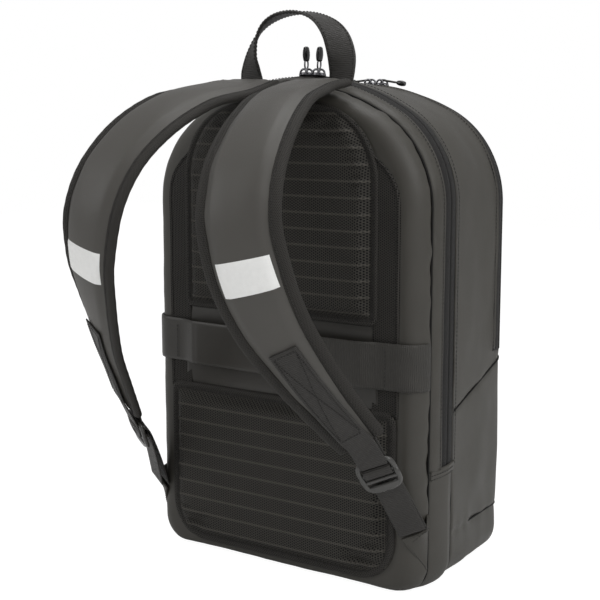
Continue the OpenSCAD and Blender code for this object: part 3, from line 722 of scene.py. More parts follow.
def side_seams(p):
    """The diagonal seam and the base seam on the sides and front of the bag."""
    x, y, z = p[..., 0], p[..., 1], p[..., 2]
    slope = (DIAGONAL_Z1 - DIAGONAL_Z0) / (FRONT - TAPE_Y1)
    diagonal = (z - DIAGONAL_Z0 - slope * (y - TAPE_Y1)) / math.hypot(1, slope)
    low = smoothstep((z - 0.012) / 0.01)
    lap = 0.0009 * np.exp(-np.clip(z - BOOT_Z, 0, 1) / 0.014) * (z > BOOT_Z)
    along = y + 0.8 * x
    return (pucker(along, z - BOOT_Z, 0.0024, 0.008, 0.012, 3.0) * low + lap * low
            + pucker(along, diagonal, 0.0008, 0.004, 0.010, 8.0))


def cushion_outline(share, d=0.0):
    """Outline of the padded back, share of the way from its seam to its flat face."""
    ring = outline(BACK)
    half, top = BACK_HALF, BACK_TOP
    x = ring[:, 0] * (1 - (share * CUSHION_SIDE + d) / half)
    z = share * CUSHION_BASE + d + ring[:, 1] * (1 - (share * (CUSHION_BASE + CUSHION_TOP) + 2 * d) / top)
    return x, z


def cushion_curve(t):
    """Share of the way across the padded back's flank, and the depth there, t of the way along its roll."""
    rise = math.sin(math.pi / 2 * min(1, t * 1.04)) ** 0.92
    return t ** 1.5, SEAM_BACK_Y + (PAD_Y - 0.0002 - SEAM_BACK_Y) * rise


def back_shell():
    """Cloth over the padded back: rolls out of the puckered seam, up the flank and on to the flat face."""
    shares = np.concatenate([np.linspace(0, 0.3, 10)[:-1], np.linspace(0.3, 1, 16)])
    rows = []
    for t in shares:
        share, y = cushion_curve(t)
        x, z = cushion_outline(share)
        rows.append(np.stack([x, np.full_like(x, y), z], axis=1))
    for d in (0.003, 0.007, 0.013, 0.022, 0.034, 0.050):
        x, z = cushion_outline(1, d)
        rows.append(np.stack([x, np.full_like(x, PAD_Y - 0.0002), z], axis=1))
    p = np.array(rows)
    n = grid_normals(p)
    n = n * np.sign(-n[..., 1:2])
    n[:, 0] = n[:, -1]
    d = np.broadcast_to(distances(p[:, ZIP_COLUMN + 30])[:, None], p.shape[:2])
    s = np.broadcast_to(S[None, :], p.shape[:2])
    calm = smoothstep((0.030 - d) / 0.012)
    lift = pucker(s, d, 0.0026, 0.008, 0.012, 1.0) + broad_wrinkles(p, 0.0014, 2.0) * calm
    lift = lift + 0.0008 * np.sin(np.pi * np.clip(d / 0.030, 0, 1))
    lift[:, -1] = lift[:, 0]
    p = lifted(p, n, np.maximum(lift, -0.0035))
    middle = np.array([0, PAD_Y - 0.0002, 0.22])
    inner = [middle + (p[-1] - middle) * k for k in (0.75, 0.5, 0.25, 0.0)]
    p = np.concatenate([p, np.array(inner)])
    uv = p[..., [0, 2]]
    made = sheet_grid("back_panel_cloth", p, uv, CLOTH, 0)
    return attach(thicken(outward_from(made, (0, 0.1, 0.2)), CLOTH_T, LINING), "bag_back")


def gusset(name, columns, y_end, folded):
    """Band of cloth from the back seam to y_end: folded over the zip tape there, or sewn on."""
    y0 = SEAM_BACK_Y
    depths = list(y0 + (y_end - y0) * np.linspace(0, 1, 22 if folded else 34) ** 1.15)
    p, n, uv = wall(depths, columns)
    t = (p[..., 1] - y0) / (y_end - y0)
    lift = 0.0018 * np.sin(np.pi * np.clip(t, 0, 1)) ** 0.8
    lift = lift + pucker(uv[..., 0], p[..., 1] - y0, 0.0023, 0.0060, 0.012, 4.0)
    lift = lift + broad_wrinkles(p, 0.0009, 9.0)
    if folded:
        lift = lift + 0.0011 * smoothstep((p[..., 1] - y_end + 0.003) / 0.002)
    else:
        lift = lift + pucker(uv[..., 0], y_end - p[..., 1], 0.0010, 0.004, 0.012, 6.0)
    made = outward_from(sheet_grid(name, lifted(p, n, lift), uv, CLOTH, 0), (0, 0, 0.2))
    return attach(thicken(made, CLOTH_T, LINING), "bag_back")


def face_bulge(x, z):
    across = np.clip(1 - (x / (HALF - 0.02)) ** 2, 0, 1) ** 0.8
    up = np.clip(np.sin(np.pi * np.clip((z + 0.03) / (TOP + 0.03), 0, 1)), 0, 1) ** 0.7
    return 0.0085 * across * up


def rim_share(x, z):
    """How much of the front's swell is reached at a place on it, none at the rim."""
    edge = outline(FRONT)[: HALF_COLUMNS + 1]
    return float(smoothstep(np.min(np.hypot(edge[:, 0] - abs(x), edge[:, 1] - z)) / 0.045))


def front_depth(x, z):
    return FRONT + face_bulge(x, z) * rim_share(x, z)


def front_face(columns_from, columns_to, count):
    """Grid over the front between mirrored columns, row for row, swelling away from its rim."""
    across = np.linspace(-1, 1, count)
    edge = outline(FRONT)[columns_from:columns_to + 1]
    return np.array([[(x * k, front_depth(x * k, z), z) for k in across] for x, z in edge])


def from_ends(face):
    """How far each place on a face lies from the nearer end of its row."""
    x = face[..., 0]
    return np.minimum(np.abs(x - x[:, :1]), np.abs(x - x[:, -1:]))


def face_finish(p, seed):
    lift = broad_wrinkles(p, 0.0009, seed)
    p = p.copy()
    p[..., 1] += lift
    return p


def round_depths(y0):
    edge = FRONT - FRONT_ROUND
    curve = [edge + FRONT_ROUND * math.sin(math.radians(a)) for a in range(4, 91, 6)] + [FRONT]
    return [y0] + [y for y in curve if y > y0 + 0.0006]


def front_cloth():
    flat = list(np.linspace(TAPE_Y1, FZIP_Y0, 38))
    p, n, uv = wall(flat, np.concatenate([np.arange(HALF_COLUMNS, COLUMNS - 1), np.arange(HALF_COLUMNS + 1)]))
    y = p[..., 1]
    upper = smoothstep((p[..., 2] - ZIP_END) / 0.004)
    lift = broad_wrinkles(p, 0.0015, 1.5) + side_seams(p)
    lift = lift + upper * 0.0012 * smoothstep(1 - (y - TAPE_Y1) / 0.003)
    lift = lift + (1 - upper) * pucker(uv[..., 0], y - TAPE_Y1, 0.0012, 0.005, 0.012, 7.0)
    high = smoothstep((p[..., 2] - FLAP_Z) / 0.004)
    lift = lift + high * 0.0012 * smoothstep((y - FZIP_Y0 + 0.003) / 0.002)
    body = sheet_grid("side_cloth", lifted(p, n, lift), uv, CLOTH, 0)
    depths = round_depths(FZIP_Y0)
    q, m, quv = wall(depths, UNDER_FLAP)
    fade = smoothstep((FRONT - q[..., 1]) / 0.004)
    start = broad_wrinkles(q, 0.0015, 1.5)
    lip = 0.0012 * smoothstep((FRONT - FRONT_ROUND - q[..., 1]) / 0.01)
    lip = lip * smoothstep((q[..., 2] - FLAP_Z) / 0.004)
    low = sheet_grid("lower_edge", lifted(q, m, (start + side_seams(q)) * fade + lip), quv, CLOTH, 0)
    face = front_face(N_BOTTOM, FLAP_COLUMN, 2 * N_BOTTOM + 1)
    calm = smoothstep(from_ends(face) / 0.01) * smoothstep((face[..., 2] - face[0, 0, 2]) / 0.01)
    seams = side_seams(face) * calm
    shown = face_finish(face, 3.3)
    shown[..., 1] = face[..., 1] + (shown[..., 1] - face[..., 1]) * calm + seams
    plate = sheet_grid("lower_face", shown, face[..., [0, 2]], CLOTH, 0)
    made = join("front_cloth", [body, low, plate])
    clean(made, MERGE)
    return on_front(thicken(outward_from(made, (0, 0, 0.2)), CLOTH_T, LINING))


def front_flap():
    q, m, quv = wall(round_depths(FZIP_Y1), FLAP)
    fade = smoothstep((FRONT - q[..., 1]) / 0.004)
    lift = 0.0010 * smoothstep((FZIP_Y1 + 0.003 - q[..., 1]) / 0.003)
    edge = sheet_grid("flap_edge", lifted(q, m, lift * fade), quv, CLOTH, 0)
    face = front_face(FLAP_COLUMN, HALF_COLUMNS, 73)
    calm = smoothstep(from_ends(face) / 0.012) * smoothstep((face[-1, 0, 2] - face[..., 2]) / 0.02)
    shown = face_finish(face, 3.3)
    shown[..., 1] = face[..., 1] + (shown[..., 1] - face[..., 1]) * calm
    plate = sheet_grid("flap_face", shown, face[..., [0, 2]], CLOTH, 0)
    made = clean(join("front_flap_cloth", [edge, plate]), MERGE)
    return on_flap(thicken(outward_from(made, (0, 0, 0.3)), CLOTH_T, LINING))


# ---------------------------------------------------------------- zips
def tape(name, y0, y1, columns, centre):
    """One zip tape: flat, tucked under the fabric on one side and dipping to the coil on the other."""
    depths = list(np.linspace(y0, y1, 9))
    p, n, uv = wall(depths, columns)
    d = np.abs(p[..., 1] - centre)
    lift = -0.0004 - 0.0009 * np.exp(-(d / 0.0011) ** 2) - 0.0004 * smoothstep((d - 0.006) / 0.003)
    return sheet_grid(name, lifted(p, n, lift), uv, TAPE, 0.0007)


def coil(name, y0, y1, z_from):
    """Row of coil teeth along one side of a zip's middle."""
    middle = (y0 + y1) / 2
    edge = outline(middle)
    edge = edge[edge[:, 1] >= z_from - 1e-6] if z_from > 0.05 else edge
    half = edge[: len(edge) // 2 + 1]
    full = np.concatenate([half, half[-2::-1] * (-1, 1)])
    s = distances(full)
    fine = np.arange(0, s[-1], 0.00055)
    x, z = np.interp(fine, s, full[:, 0]), np.interp(fine, s, full[:, 1])
    t = np.stack([np.gradient(x), np.gradient(z)], axis=1)
    t /= np.linalg.norm(t, axis=1, keepdims=True)
    out = np.stack([t[:, 1], -t[:, 0]], axis=1)
    tooth = 0.5 + 0.5 * np.cos(2 * math.pi * fine / 0.0016)
    profile = ((0, -0.0030), (0.12, -0.0016), (0.4, -0.0011), (0.75, -0.0010), (0.95, -0.0016), (1, -0.0030))
    rows = []
    for k, h in profile:
        lift = h + 0.0005 * tooth * (1 if 0 < k < 1 else 0)
        y = np.full_like(x, y0 + (y1 - y0) * k)
        rows.append(np.stack([x + out[:, 0] * lift, y, z + out[:, 1] * lift], axis=1))
    uv = uv_grid(fine, np.arange(len(rows)) * 0.0004)
    return outward_from(clean(grid(name, np.array(rows), uv, COIL)), (0, 0, 0.2))


def edge_stitches(group, y, columns, lift):
    p, n, _ = wall([y - 0.001, y, y + 0.001], columns)
    stitch(group, lifted(p, n, lift)[1], n[1])


def zips():
    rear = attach(tape("main_tape_rear", TAPE_Y0 - 0.003, ZIP_Y - 0.0002, UPPER, ZIP_Y), "bag_back")
    front = on_front(tape("main_tape_front", ZIP_Y + 0.0002, TAPE_Y1 + 0.003, UPPER, ZIP_Y))
    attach(tape("front_tape_rear", FZIP_Y0 - 0.003, FZIP_Y - 0.0002, FLAP, FZIP_Y), "front_section")
    flap = tape("front_tape_front", FZIP_Y + 0.0002, FZIP_Y1 + 0.002, FLAP, FZIP_Y)
    on_flap(flap)
    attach(coil("main_coil_rear", ZIP_Y - 0.0017, ZIP_Y - 0.0001, ZIP_END), "bag_back")
    on_front(coil("main_coil_front", ZIP_Y + 0.0001, ZIP_Y + 0.0017, ZIP_END))
    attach(coil("front_coil_rear", FZIP_Y - 0.0017, FZIP_Y - 0.0001, FLAP_Z), "front_section")
    on_flap(coil("front_coil_front", FZIP_Y + 0.0001, FZIP_Y + 0.0017, FLAP_Z))
    edge_stitches("back", TAPE_Y0 - 0.0035, UPPER, 0.0022)
    edge_stitches("front", TAPE_Y1 + 0.0042, UPPER, 0.0008)
    edge_stitches("front_top", FZIP_Y0 - 0.0042, FLAP, 0.0008)
    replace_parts(rear, "main_zip_rear_tape")
    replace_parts(front, "main_zip_front_tape")
    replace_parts(flap, "front_zip_front_tape")


def zip_end_patch(side):
    """Folded cloth hem sewn across the lower end of the main zip."""
    ys = np.linspace(SEAM_BACK_Y + 0.001, TAPE_Y1 + 0.004, 40)
    rise = 0.0022 * np.arange(40) / 39
    bow = [0.0014 * math.sin(math.pi * k / 39) for k in range(40)]
    zs = np.array([-0.0075, -0.007, -0.005, -0.003, -0.001, 0.0008, 0.0014, 0.0012])
    up = np.array([0.0, 0.0007, 0.0010, 0.0011, 0.0013, 0.0014, 0.0008, -0.0006])
    p = np.array([[(side * (half_width(y) - 0.0004 + u + b), y, ZIP_END + z + r)
                   for y, b, r in zip(ys, bow, rise)] for z, u in zip(zs, up)])
    made = sheet_grid(f"zip_end_{SIDE_WORD[side]}", p, p[..., [1, 2]], CLOTH, 0)
    outward_from(made, (0, 0, ZIP_END))
    for row in (3, 1):
        stitch("zip_ends", p[row] + (side * 0.0001, 0, 0), (side, 0, 0))
    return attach(made, "bag_back")


# ---------------------------------------------------------------- back pads
UPPER_BOX, LOWER_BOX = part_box("upper_back_pad"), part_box("lower_back_pad")
BORDER_BOX, BAND_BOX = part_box("right_mesh_border"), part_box("trolley_band")
PAD_BACK = PAD_Y - 0.0004


def rounded_half(z, half, z0, z1, r_low, r_high):
    """Half width at height z of a shape with rounded lower and upper corners."""
    if z < z0 + r_low:
        return half - r_low + math.sqrt(max(0, r_low ** 2 - (z0 + r_low - z) ** 2))
    if z > z1 - r_high:
        return half - r_high + math.sqrt(max(0, r_high ** 2 - (z - z1 + r_high) ** 2))
    return half


def back_pad(name, box, r_low, r_high, pitch, first, nodes):
    """Ribbed foam under open mesh: crown from a cloth simulation, then sewn ribs and a stitched groove inside
    the edge.
    """
    (_, y0, z0), (half, _, z1) = box
    thick = PAD_Y - y0
    # the near-black second colour is painted shade in the openings; ribs paints a highlight along each rib's
    # crest
    knit = open_mesh(f"{name}_mesh", 0.0021, rgb(48, 46, 42), rgb(3, 3, 3), openness=-0.15,
                     ribs=(pitch, first))
    zs = np.linspace(z0, z1, int((z1 - z0) / 0.0011) + 1)
    widths = [rounded_half(z, half, z0, z1, r_low, r_high) for z in zs]
    side = [(w * 0.97, z) for w, z in zip(widths[::6], zs[::6])]
    height = inflate(name, side + [(-x, z) for x, z in side[::-1]], thick * 0.8, cap=0.006)
    cols = np.sin(np.linspace(-math.pi / 2, math.pi / 2, 75))
    p = np.zeros((len(zs), len(cols), 3))
    for i, (z, w) in enumerate(zip(zs, widths)):
        for j, c in enumerate(cols):
            x = w * c
            edge = min(w - abs(x), z - z0, z1 - z)
            rise = smoothstep((edge - 0.0045) / 0.011)
            h = 0.0022 + rise * max(0.0, height(x * 0.99, z) - 0.0022 + 0.0012)
            share = (z - first) / pitch
            near = (share - round(share)) * pitch
            rib = math.exp(-(near / 0.0015) ** 2)
            valley = math.exp(-(abs(near) - 0.0034) ** 2 / (2 * 0.0013 ** 2))
            inner = smoothstep((edge - 0.008) / 0.006)
            h += inner * (0.0030 * rib - 0.0012 * valley)
            h -= 0.0008 * math.exp(-((edge - 0.0048) / 0.0012) ** 2)
            p[i, j] = (x, PAD_BACK - min(h, thick + 0.003), z)
    skirt = np.pad(p, ((1, 1), (1, 1), (0, 0)), mode="edge")
    uv = skirt[..., [0, 2]].copy()
    for part in (skirt[0], skirt[-1], skirt[:, 0], skirt[:, -1]):
        part[:, 1] = PAD_BACK + 0.0006
    made = clean(grid(name, skirt, uv, knit), MERGE / 2)
    edit(made, lambda bm: bmesh.ops.holes_fill(bm, edges=[e for e in bm.edges if e.is_boundary], sides=0))
    outward(made)
    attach(made, "bag_back")
    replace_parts(made, *nodes)
    inset = 0.0030
    pts = [((widths[i] - inset) * s, PAD_BACK - 0.0024, z) for s in (1, -1)
           for i, z in list(enumerate(zs))[::s * 4] if z0 + inset < z < z1 - inset]
    middle = len(pts) // 2
    stitch("back", pts[:middle], BACKWARD)
    stitch("back", pts[middle:], BACKWARD)


def pad_binding(name, box, r_low, r_high, width=0.010):
    """Flat bound mesh edge that runs round a pad."""
    (_, _, z0), (half, _, z1) = box
    half, z0, z1 = half - width * 0.35, z0 + width * 0.35, z1 - width * 0.35
    path = arc(half - r_low, z0 + r_low, r_low, -90, 0, 14)
    path += arc(half - r_high, z1 - r_high, r_high, 0, 90, 20)
    path += arc(-half + r_high, z1 - r_high, r_high, 90, 180, 20)
    path += arc(-half + r_low, z0 + r_low, r_low, 180, 270, 14)
    path = np.array(path + [path[0]])
    s = distances(path)
    fine = np.linspace(0, s[-1], 360)
    xz = np.stack([np.interp(fine, s, path[:, 0]), np.interp(fine, s, path[:, 1])], axis=1)
    t = tangents(xz)
    t[0] = t[-1] = unit(t[0] + t[-1])
    out = np.stack([t[:, 1], -t[:, 0]], axis=1)
    section = [(-width / 2, 0.0), (-width * 0.46, 0.0016), (-width * 0.3, 0.0024), (-width * 0.12, 0.0021),
               (0, 0.0024), (width * 0.25, 0.0029), (width * 0.42, 0.0022), (width / 2, 0.0006),
               (width / 2, -0.0002)]
    p = np.array([[(x + ox * a, PAD_BACK - h - 0.0002, z + oz * a) for (x, z), (ox, oz) in zip(xz, out)]
                  for a, h in section])
    uv = uv_grid(fine, np.linspace(0, width, len(section)))
    made = outward_from(sheet_grid(name, p, uv, BINDING, 0), (0, 0.05, (z0 + z1) / 2))
    stitch("back", p[3] - (0, 0.0002, 0), BACKWARD)
    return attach(made, "bag_back")


def mesh_border(side):
    """Flat mesh strip between the pads and the side of the back, with one line of stitching."""
    x0, x1 = BORDER_BOX[0].x, BORDER_BOX[1].x
    z0, z1 = LOWER_BOX[1].z - 0.004, UPPER_BOX[1].z - 0.008
    zs = np.linspace(z0, z1, 90)
    p = np.zeros((90, 15, 3))
    for i, z in enumerate(zs):
        lean = smoothstep((z - (z1 - 0.085)) / 0.085)
        outer = x1 + 0.003 - 0.060 * lean ** 1.8
        inner = x0 - 0.004 - 0.052 * lean ** 1.6
        for j, k in enumerate(np.linspace(0, 1, 15)):
            x = inner + (outer - inner) * k
            h = 0.0016 + 0.0008 * math.exp(-((x - outer + 0.0012) / 0.0012) ** 2)
            h -= 0.0007 * math.exp(-((x - outer + 0.0042) / 0.0009) ** 2) - 0.0003 * math.sin(z * 90 + 3 * k)
            h *= min(1.0, (1.001 - k) / 0.03)
            p[i, j] = (side * x, PAD_BACK + 0.0003 - h, z)
    made = sheet_grid(f"mesh_border_{SIDE_WORD[side]}", p, p[..., [0, 2]], MESH, 0)
    outward_from(made, (0, 0.1, 0.3))
    stitch("back", p[:, 12] - (0, 0.0004, 0), BACKWARD)
    thicken(made, 0.0008)
    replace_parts(made, f"{SIDE_WORD[side]}_mesh_border")
    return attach(made, "bag_back")


def channel():
    """Smooth cloth in the recess that the trolley handle slides through."""
    z0, z1 = LOWER_BOX[1].z - 0.003, UPPER_BOX[0].z + 0.003
    xs, zs = np.linspace(-UPPER_BOX[1].x - 0.002, UPPER_BOX[1].x + 0.002, 90), np.linspace(z0, z1, 50)
    x, z = np.meshgrid(xs, zs)
    edge = np.minimum(z - z0, z1 - z)
    y = PAD_Y - 0.0006 - 0.0010 * smoothstep(edge / 0.012)
    p = np.stack([x, y, z], axis=-1)
    p[..., 1] -= pucker(x, edge, 0.0007, 0.005, 0.012, 2.0) + broad_wrinkles(p, 0.0006, 7.0)
    made = outward_from(sheet_grid("trolley_channel", p, p[..., [0, 2]], SATIN, 0), (0, 0.1, 0.2))
    thicken(made, 0.0008)
    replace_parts(made, "channel_panel")
    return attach(made, "bag_back")


def trolley_band():
    """Band across the channel, satin from the left side and webbing over the right one."""
    (_, y0, z0), (x1, _, z1) = BAND_BOX
    mid_z, w = (z0 + z1) / 2, z1 - z0
    low, high = PAD_Y - 0.0032, y0 + 0.0010
    free, off = x1 - 0.032, 0.0026
    count, satin_to, webbing_from = 170, 122, 98
    roll = []
    for t in np.linspace(0.10, 1, 14):
        share, y = cushion_curve(t)
        roll.append((BACK_HALF - share * CUSHION_SIDE, y))
    roll = np.array(roll)
    out = tangents(roll)[:, ::-1] * (-1, 1)
    out *= np.where(out[:, 1:] > 0, -1, 1)
    roll = roll + out * off
    half = np.array(list(roll) + [(free + 0.004, low), (free - 0.006, low - 0.0006), (free - 0.022, high),
                                  (free - 0.036, high), (0.045, high)])
    flat = np.concatenate([half * (-1, 1), half[::-1]])
    travel = distances(flat)
    fine = np.linspace(0, travel[-1], count)
    xs, ys = np.interp(fine, travel, flat[:, 0]), np.interp(fine, travel, flat[:, 1])
    ys[2:-2] = (ys[:-4] + ys[1:-3] + ys[2:-2] + ys[3:-1] + ys[4:]) / 5
    ys -= 0.0006 * np.cos(xs * 34) * (np.abs(xs) < free - 0.02)
    centres = np.stack([xs, ys, np.full_like(xs, mid_z)], axis=1)
    t = tangents(centres)
    across = np.tile((0, 0, 1.0), (count, 1))
    face = np.cross(t, across)
    face *= np.sign(-face[:, 1:2])
    for name, a, b, cloth, grow in (("trolley_band_left", 0, satin_to, SATIN, 0.0),
                                    ("trolley_band_right", webbing_from, count, WEBBING_DARK, 0.0006)):
        section = band_section(w - 0.001 + grow, 0.0017, 14)
        made = sweep(name, centres[a:b] - (0, grow * 1.5, 0), across[a:b], face[a:b], section, cloth)
        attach(made, "bag_back")
        if a == 0:
            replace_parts(made, "trolley_band")
    for side in (-1, 1):
        x = side * (free + 0.003)
        y = low - 0.0018
        stitch("back", np.linspace((x, y, z0 + 0.003), (x, y, z1 - 0.003), 14), BACKWARD)


# ---------------------------------------------------------------- grab handle
HANDLE_Y = BACK + 0.009
HANDLE_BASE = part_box("grab_handle")[0].z + 0.0016
HANDLE_HALF, HANDLE_W, HANDLE_T = 0.049, 0.025, 0.0024
HANDLE_RISE = 0.060


def grab_handle():
    """Webbing loop; each point is its share across, its share up and the webbing's turn in degrees."""
    half = [(1, 0, 90), (1.02, 0.15, 80), (1, 0.38, 58), (0.88, 0.64, 40), (0.66, 0.84, 24), (0.36, 0.96, 10),
            (0, 1, 0)]
    fine = spline(half + [(-a, b, -c) for a, b, c in half[-2::-1]], 12)
    centres = np.stack([fine[:, 0] * HANDLE_HALF, np.full(len(fine), HANDLE_Y),
                        HANDLE_BASE + fine[:, 1] * HANDLE_RISE], axis=1)
    along = tangents(centres)
    turn = np.radians(fine[:, 2])
    guess = np.stack([np.sin(turn), np.cos(turn), np.zeros(len(fine))], axis=1)
    across = guess - along * np.sum(guess * along, axis=1, keepdims=True)
    across /= np.linalg.norm(across, axis=1, keepdims=True)
    face = np.cross(along, across)
    section = band_section(HANDLE_W, HANDLE_T, 12, 0.0004)
    made = sweep("handle_webbing", centres, across, face, section, WEBBING)
    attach(made, "handle")
    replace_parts(made, "grab_handle")
    for v in (-1, 1):
        line = centres + across * (v * (HANDLE_W / 2 - 0.0022)) + face * (HANDLE_T / 2)
        stitch("handle", line, face)
        stitch("handle", line - face * HANDLE_T, -face)


# ---------------------------------------------------------------- shoulder straps
STRAP_W, STRAP_T, BINDING_W = 0.075, 0.012, 0.010
WEB_W, WEB_T = 0.025, 0.0016
BUCKLE_L, BUCKLE_T, RAIL, BAR_R, TAB_FREE = 0.036, 0.005, 0.0045, 0.002, 0.020
GAP = 0.0003
STRAP_TOP_X = 0.0365
STRAP_AXIS = {j["name"]: j["pos_m"] for j in frame["record"]["behaviour"]["joints"]}["strap_right_adjust"]
# each point: share out to the side, metres behind, share of the height, turn and tilt in degrees, width's share
ROUTE = [(0, BACK - STRAP_AXIS[1], STRAP_AXIS[2] / BACK_TOP, 0, 0, 0.95), (0.02, 0.044, 0.984, -6, 2, 0.96),
         (0.13, 0.090, 0.962, -10, 0, 0.98), (0.225, 0.131, 0.913, -10, -6, 1), (0.3, 0.162, 0.844, -4, -12, 1),
         (0.36, 0.177, 0.762, 6, -14, 0.99), (0.43, 0.174, 0.671, 18, -10, 0.96),
         (0.5, 0.158, 0.582, 25, -1, 0.88), (0.6, 0.135, 0.5, 26, 14, 0.77), (0.7, 0.109, 0.424, 22, 25, 0.68),
         (0.83, 0.080, 0.344, 16, 32, 0.6)]
FINE = 16


def strap_rows():
    rows = [(STRAP_TOP_X + a * (BACK_HALF - STRAP_TOP_X), BACK - b, c * BACK_TOP, t, l, w * STRAP_W)
            for a, b, c, t, l, w in ROUTE]
    fine = spline(rows, FINE)
    centres = fine[:, :3]
    along = tangents(centres)
    turn, tilt = np.radians(fine[:, 3]), np.radians(fine[:, 4])
    guess = np.stack([np.cos(turn) * np.cos(tilt), np.sin(turn) * np.cos(tilt), np.sin(tilt)], axis=1)
    across = guess - along * np.sum(guess * along, axis=1, keepdims=True)
    across /= np.linalg.norm(across, axis=1, keepdims=True)
    face = np.cross(along, across)
    return centres, across, face, fine[:, 5]


CENTRES, ACROSS, FACE, WIDTHS = strap_rows()
STRAP_S = distances(CENTRES)
ANCHOR_TIP = np.array([BACK_HALF - 0.001, BACK - 0.021, 0.059])
END_TURN, END_TILT = math.radians(ROUTE[-1][3]), math.radians(ROUTE[-1][4])
END_GUESS = np.array([math.cos(END_TURN) * math.cos(END_TILT), math.sin(END_TURN) * math.cos(END_TILT),
                      math.sin(END_TILT)])
# the buckle's own frame: along the webbing, across it and out of its face
B_ALONG = unit(ANCHOR_TIP - CENTRES[-1])
B_ACROSS = unit(END_GUESS - B_ALONG * (END_GUESS @ B_ALONG))
B_FACE = np.cross(B_ALONG, B_ACROSS)
B_ORIGIN = CENTRES[-1] + B_ALONG * TAB_FREE


def both(made, right_body, right_nodes=(), blend=None):
    """Keeps the right-hand piece and mirrors it as the left-hand one; each rides its side's body, or, when
    blend is given, only has its placement baked in.
    """
    left = mirrored(made, made.name.replace("right", "left"))
    for piece, side in ((made, "right"), (left, "left")):
        body = right_body.replace("right", side)
        if blend:
            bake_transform(piece)
        else:
            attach(piece, body)
        nodes = [n.replace("right", side) for n in right_nodes]
        if nodes:
            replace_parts(piece, *nodes)
    return made, left


HINGE_BLEND = ("bag_back", "strap_right", (STRAP_TOP_X, STRAP_AXIS[1] + 0.004, 0.44),
               (STRAP_TOP_X, STRAP_AXIS[1] - 0.026, 0.44))


def strap_pad():
    """Cloth-faced foam with a mesh back, crowned by a cloth simulation, for both straps."""
    length = STRAP_S[-1]
    pad_half = WIDTHS / 2 - BINDING_W * 0.62
    side = [(h * 0.97, s) for h, s in zip(pad_half[::8], STRAP_S[::8])]
    height = inflate("strap", side + [(-x, s) for x, s in side[::-1]], STRAP_T * 0.5, cap=0.005)
    us = np.sin(np.linspace(-math.pi / 2, math.pi / 2, 30))
    sections = []
    for i in range(len(CENTRES)):
        end = smoothstep(min(STRAP_S[i] / 0.03, (length - STRAP_S[i]) / 0.02 + 0.25))
        face, back = [], []
        for u in us:
            x = u * pad_half[i]
            edge = pad_half[i] - abs(x)
            swell = smoothstep(edge / 0.012)
            h = height(x * 0.95, float(np.clip(STRAP_S[i], 0.004, length - 0.004)))
            top = 0.0022 + swell * (h * 0.62) * (0.55 + 0.45 * end)
            ripple = 0.0003 * math.sin(STRAP_S[i] * 95 + 2.5 * math.sin(STRAP_S[i] * 31))
            face.append((x, top + ripple * smoothstep(1 - edge / 0.02)))
            back.append((x, -(0.0022 + swell * h * 0.42)))
        sections.append(face + back[::-1])
    made = sweep("strap_cushion_right", CENTRES, ACROSS, FACE, np.array(sections), STRAP_CLOTH)
    made.data.materials.append(MESH)
    for f in made.data.polygons:
        c = np.array(f.center)
        i = int(np.argmin(np.sum((CENTRES - c) ** 2, axis=1)))
        if (c - CENTRES[i]) @ FACE[i] < -0.0012:
            f.material_index = 1
    return both(made, "strap_right", right_nodes=("strap_pad_right",), blend=HINGE_BLEND)


def strap_binding():
    """Mesh binding folded round both edges of the strap; the section's points are in millimetres."""
    half_ring = ((-10.0, 2.6), (-9.4, 3.9), (-7.5, 4.3), (-6.8, 4.05), (-5, 4.3), (-2.6, 3.9), (-0.9, 2.6),
                 (0, 1.0))
    parts = []
    n = len(CENTRES)
    for s in (-1, 1):
        section = np.zeros((n, 18, 2))
        for i in range(n):
            half = WIDTHS[i] / 2
            ring = []
            for a, h in half_ring:
                wob = 0.12 * math.sin(STRAP_S[i] * 520 + a)
                ring.append((half + a * MM, (h + wob) * 0.86 * MM))
            ring = ring + [(half + 0.0001, 0)] + [(x, -h) for x, h in ring[::-1]] + [(half - 0.0102, 0)]
            section[i] = [(x * s, h) for x, h in ring]
        parts.append(sweep(f"strap_edge_{s}", CENTRES, ACROSS, FACE, section, BINDING))
        line = CENTRES + ACROSS * (s * (WIDTHS / 2 - 0.0068))[:, None] + FACE * 0.0035
        stitch("strap_right", line[4:], FACE[4:])
        stitch("strap_right", line[4:] - FACE[4:] * 0.007, -FACE[4:])
    made = outward(join("strap_binding_mesh_right", parts))
    return both(made, "strap_right", right_nodes=("strap_binding_right",), blend=HINGE_BLEND)


def surface_height(i, x, strap_tree):
    """Point on the strap's face at row i, x across."""
    start = Vector(CENTRES[i] + ACROSS[i] * x + FACE[i] * 0.03)
    hit = strap_tree.ray_cast(start, Vector(-FACE[i]))[0]
    return np.array(hit) if hit else CENTRES[i] + ACROSS[i] * x + FACE[i] * 0.006


def strap_label(tree):
    """Blank white label sewn on the strap's face."""
    mid = 6 * FINE
    half = WIDTHS[mid] / 2 - BINDING_W - 0.0025
    rows = [i for i in range(len(CENTRES)) if abs(STRAP_S[i] - STRAP_S[mid]) <= 0.0152]
    rows = np.linspace(rows[0], rows[-1], 16)
    p = np.zeros((16, 30, 3))
    for r, fi in enumerate(rows):
        i = int(round(fi))
        for c, x in enumerate(np.linspace(-half, half, 30)):
            lift = 0.0009 if 0 < r < 15 and 0 < c < 29 else 0.0001
            p[r, c] = surface_height(i, x, tree) + FACE[i] * lift
    uv = np.stack(np.meshgrid(np.linspace(0, 2 * half, 30), np.linspace(0, 0.03, 16)), axis=-1)
    label = sheet_grid("strap_label_cloth_right", p, uv, LABEL, 0)
    if np.mean([f.normal.dot(Vector(FACE[mid])) for f in label.data.polygons]) < 0:
        label.data.flip_normals()
    both(label, "strap_right", right_nodes=("strap_label_right",))


def frame_point(x, y, z):
    return B_ORIGIN + B_ACROSS * x - B_ALONG * y + B_FACE * z


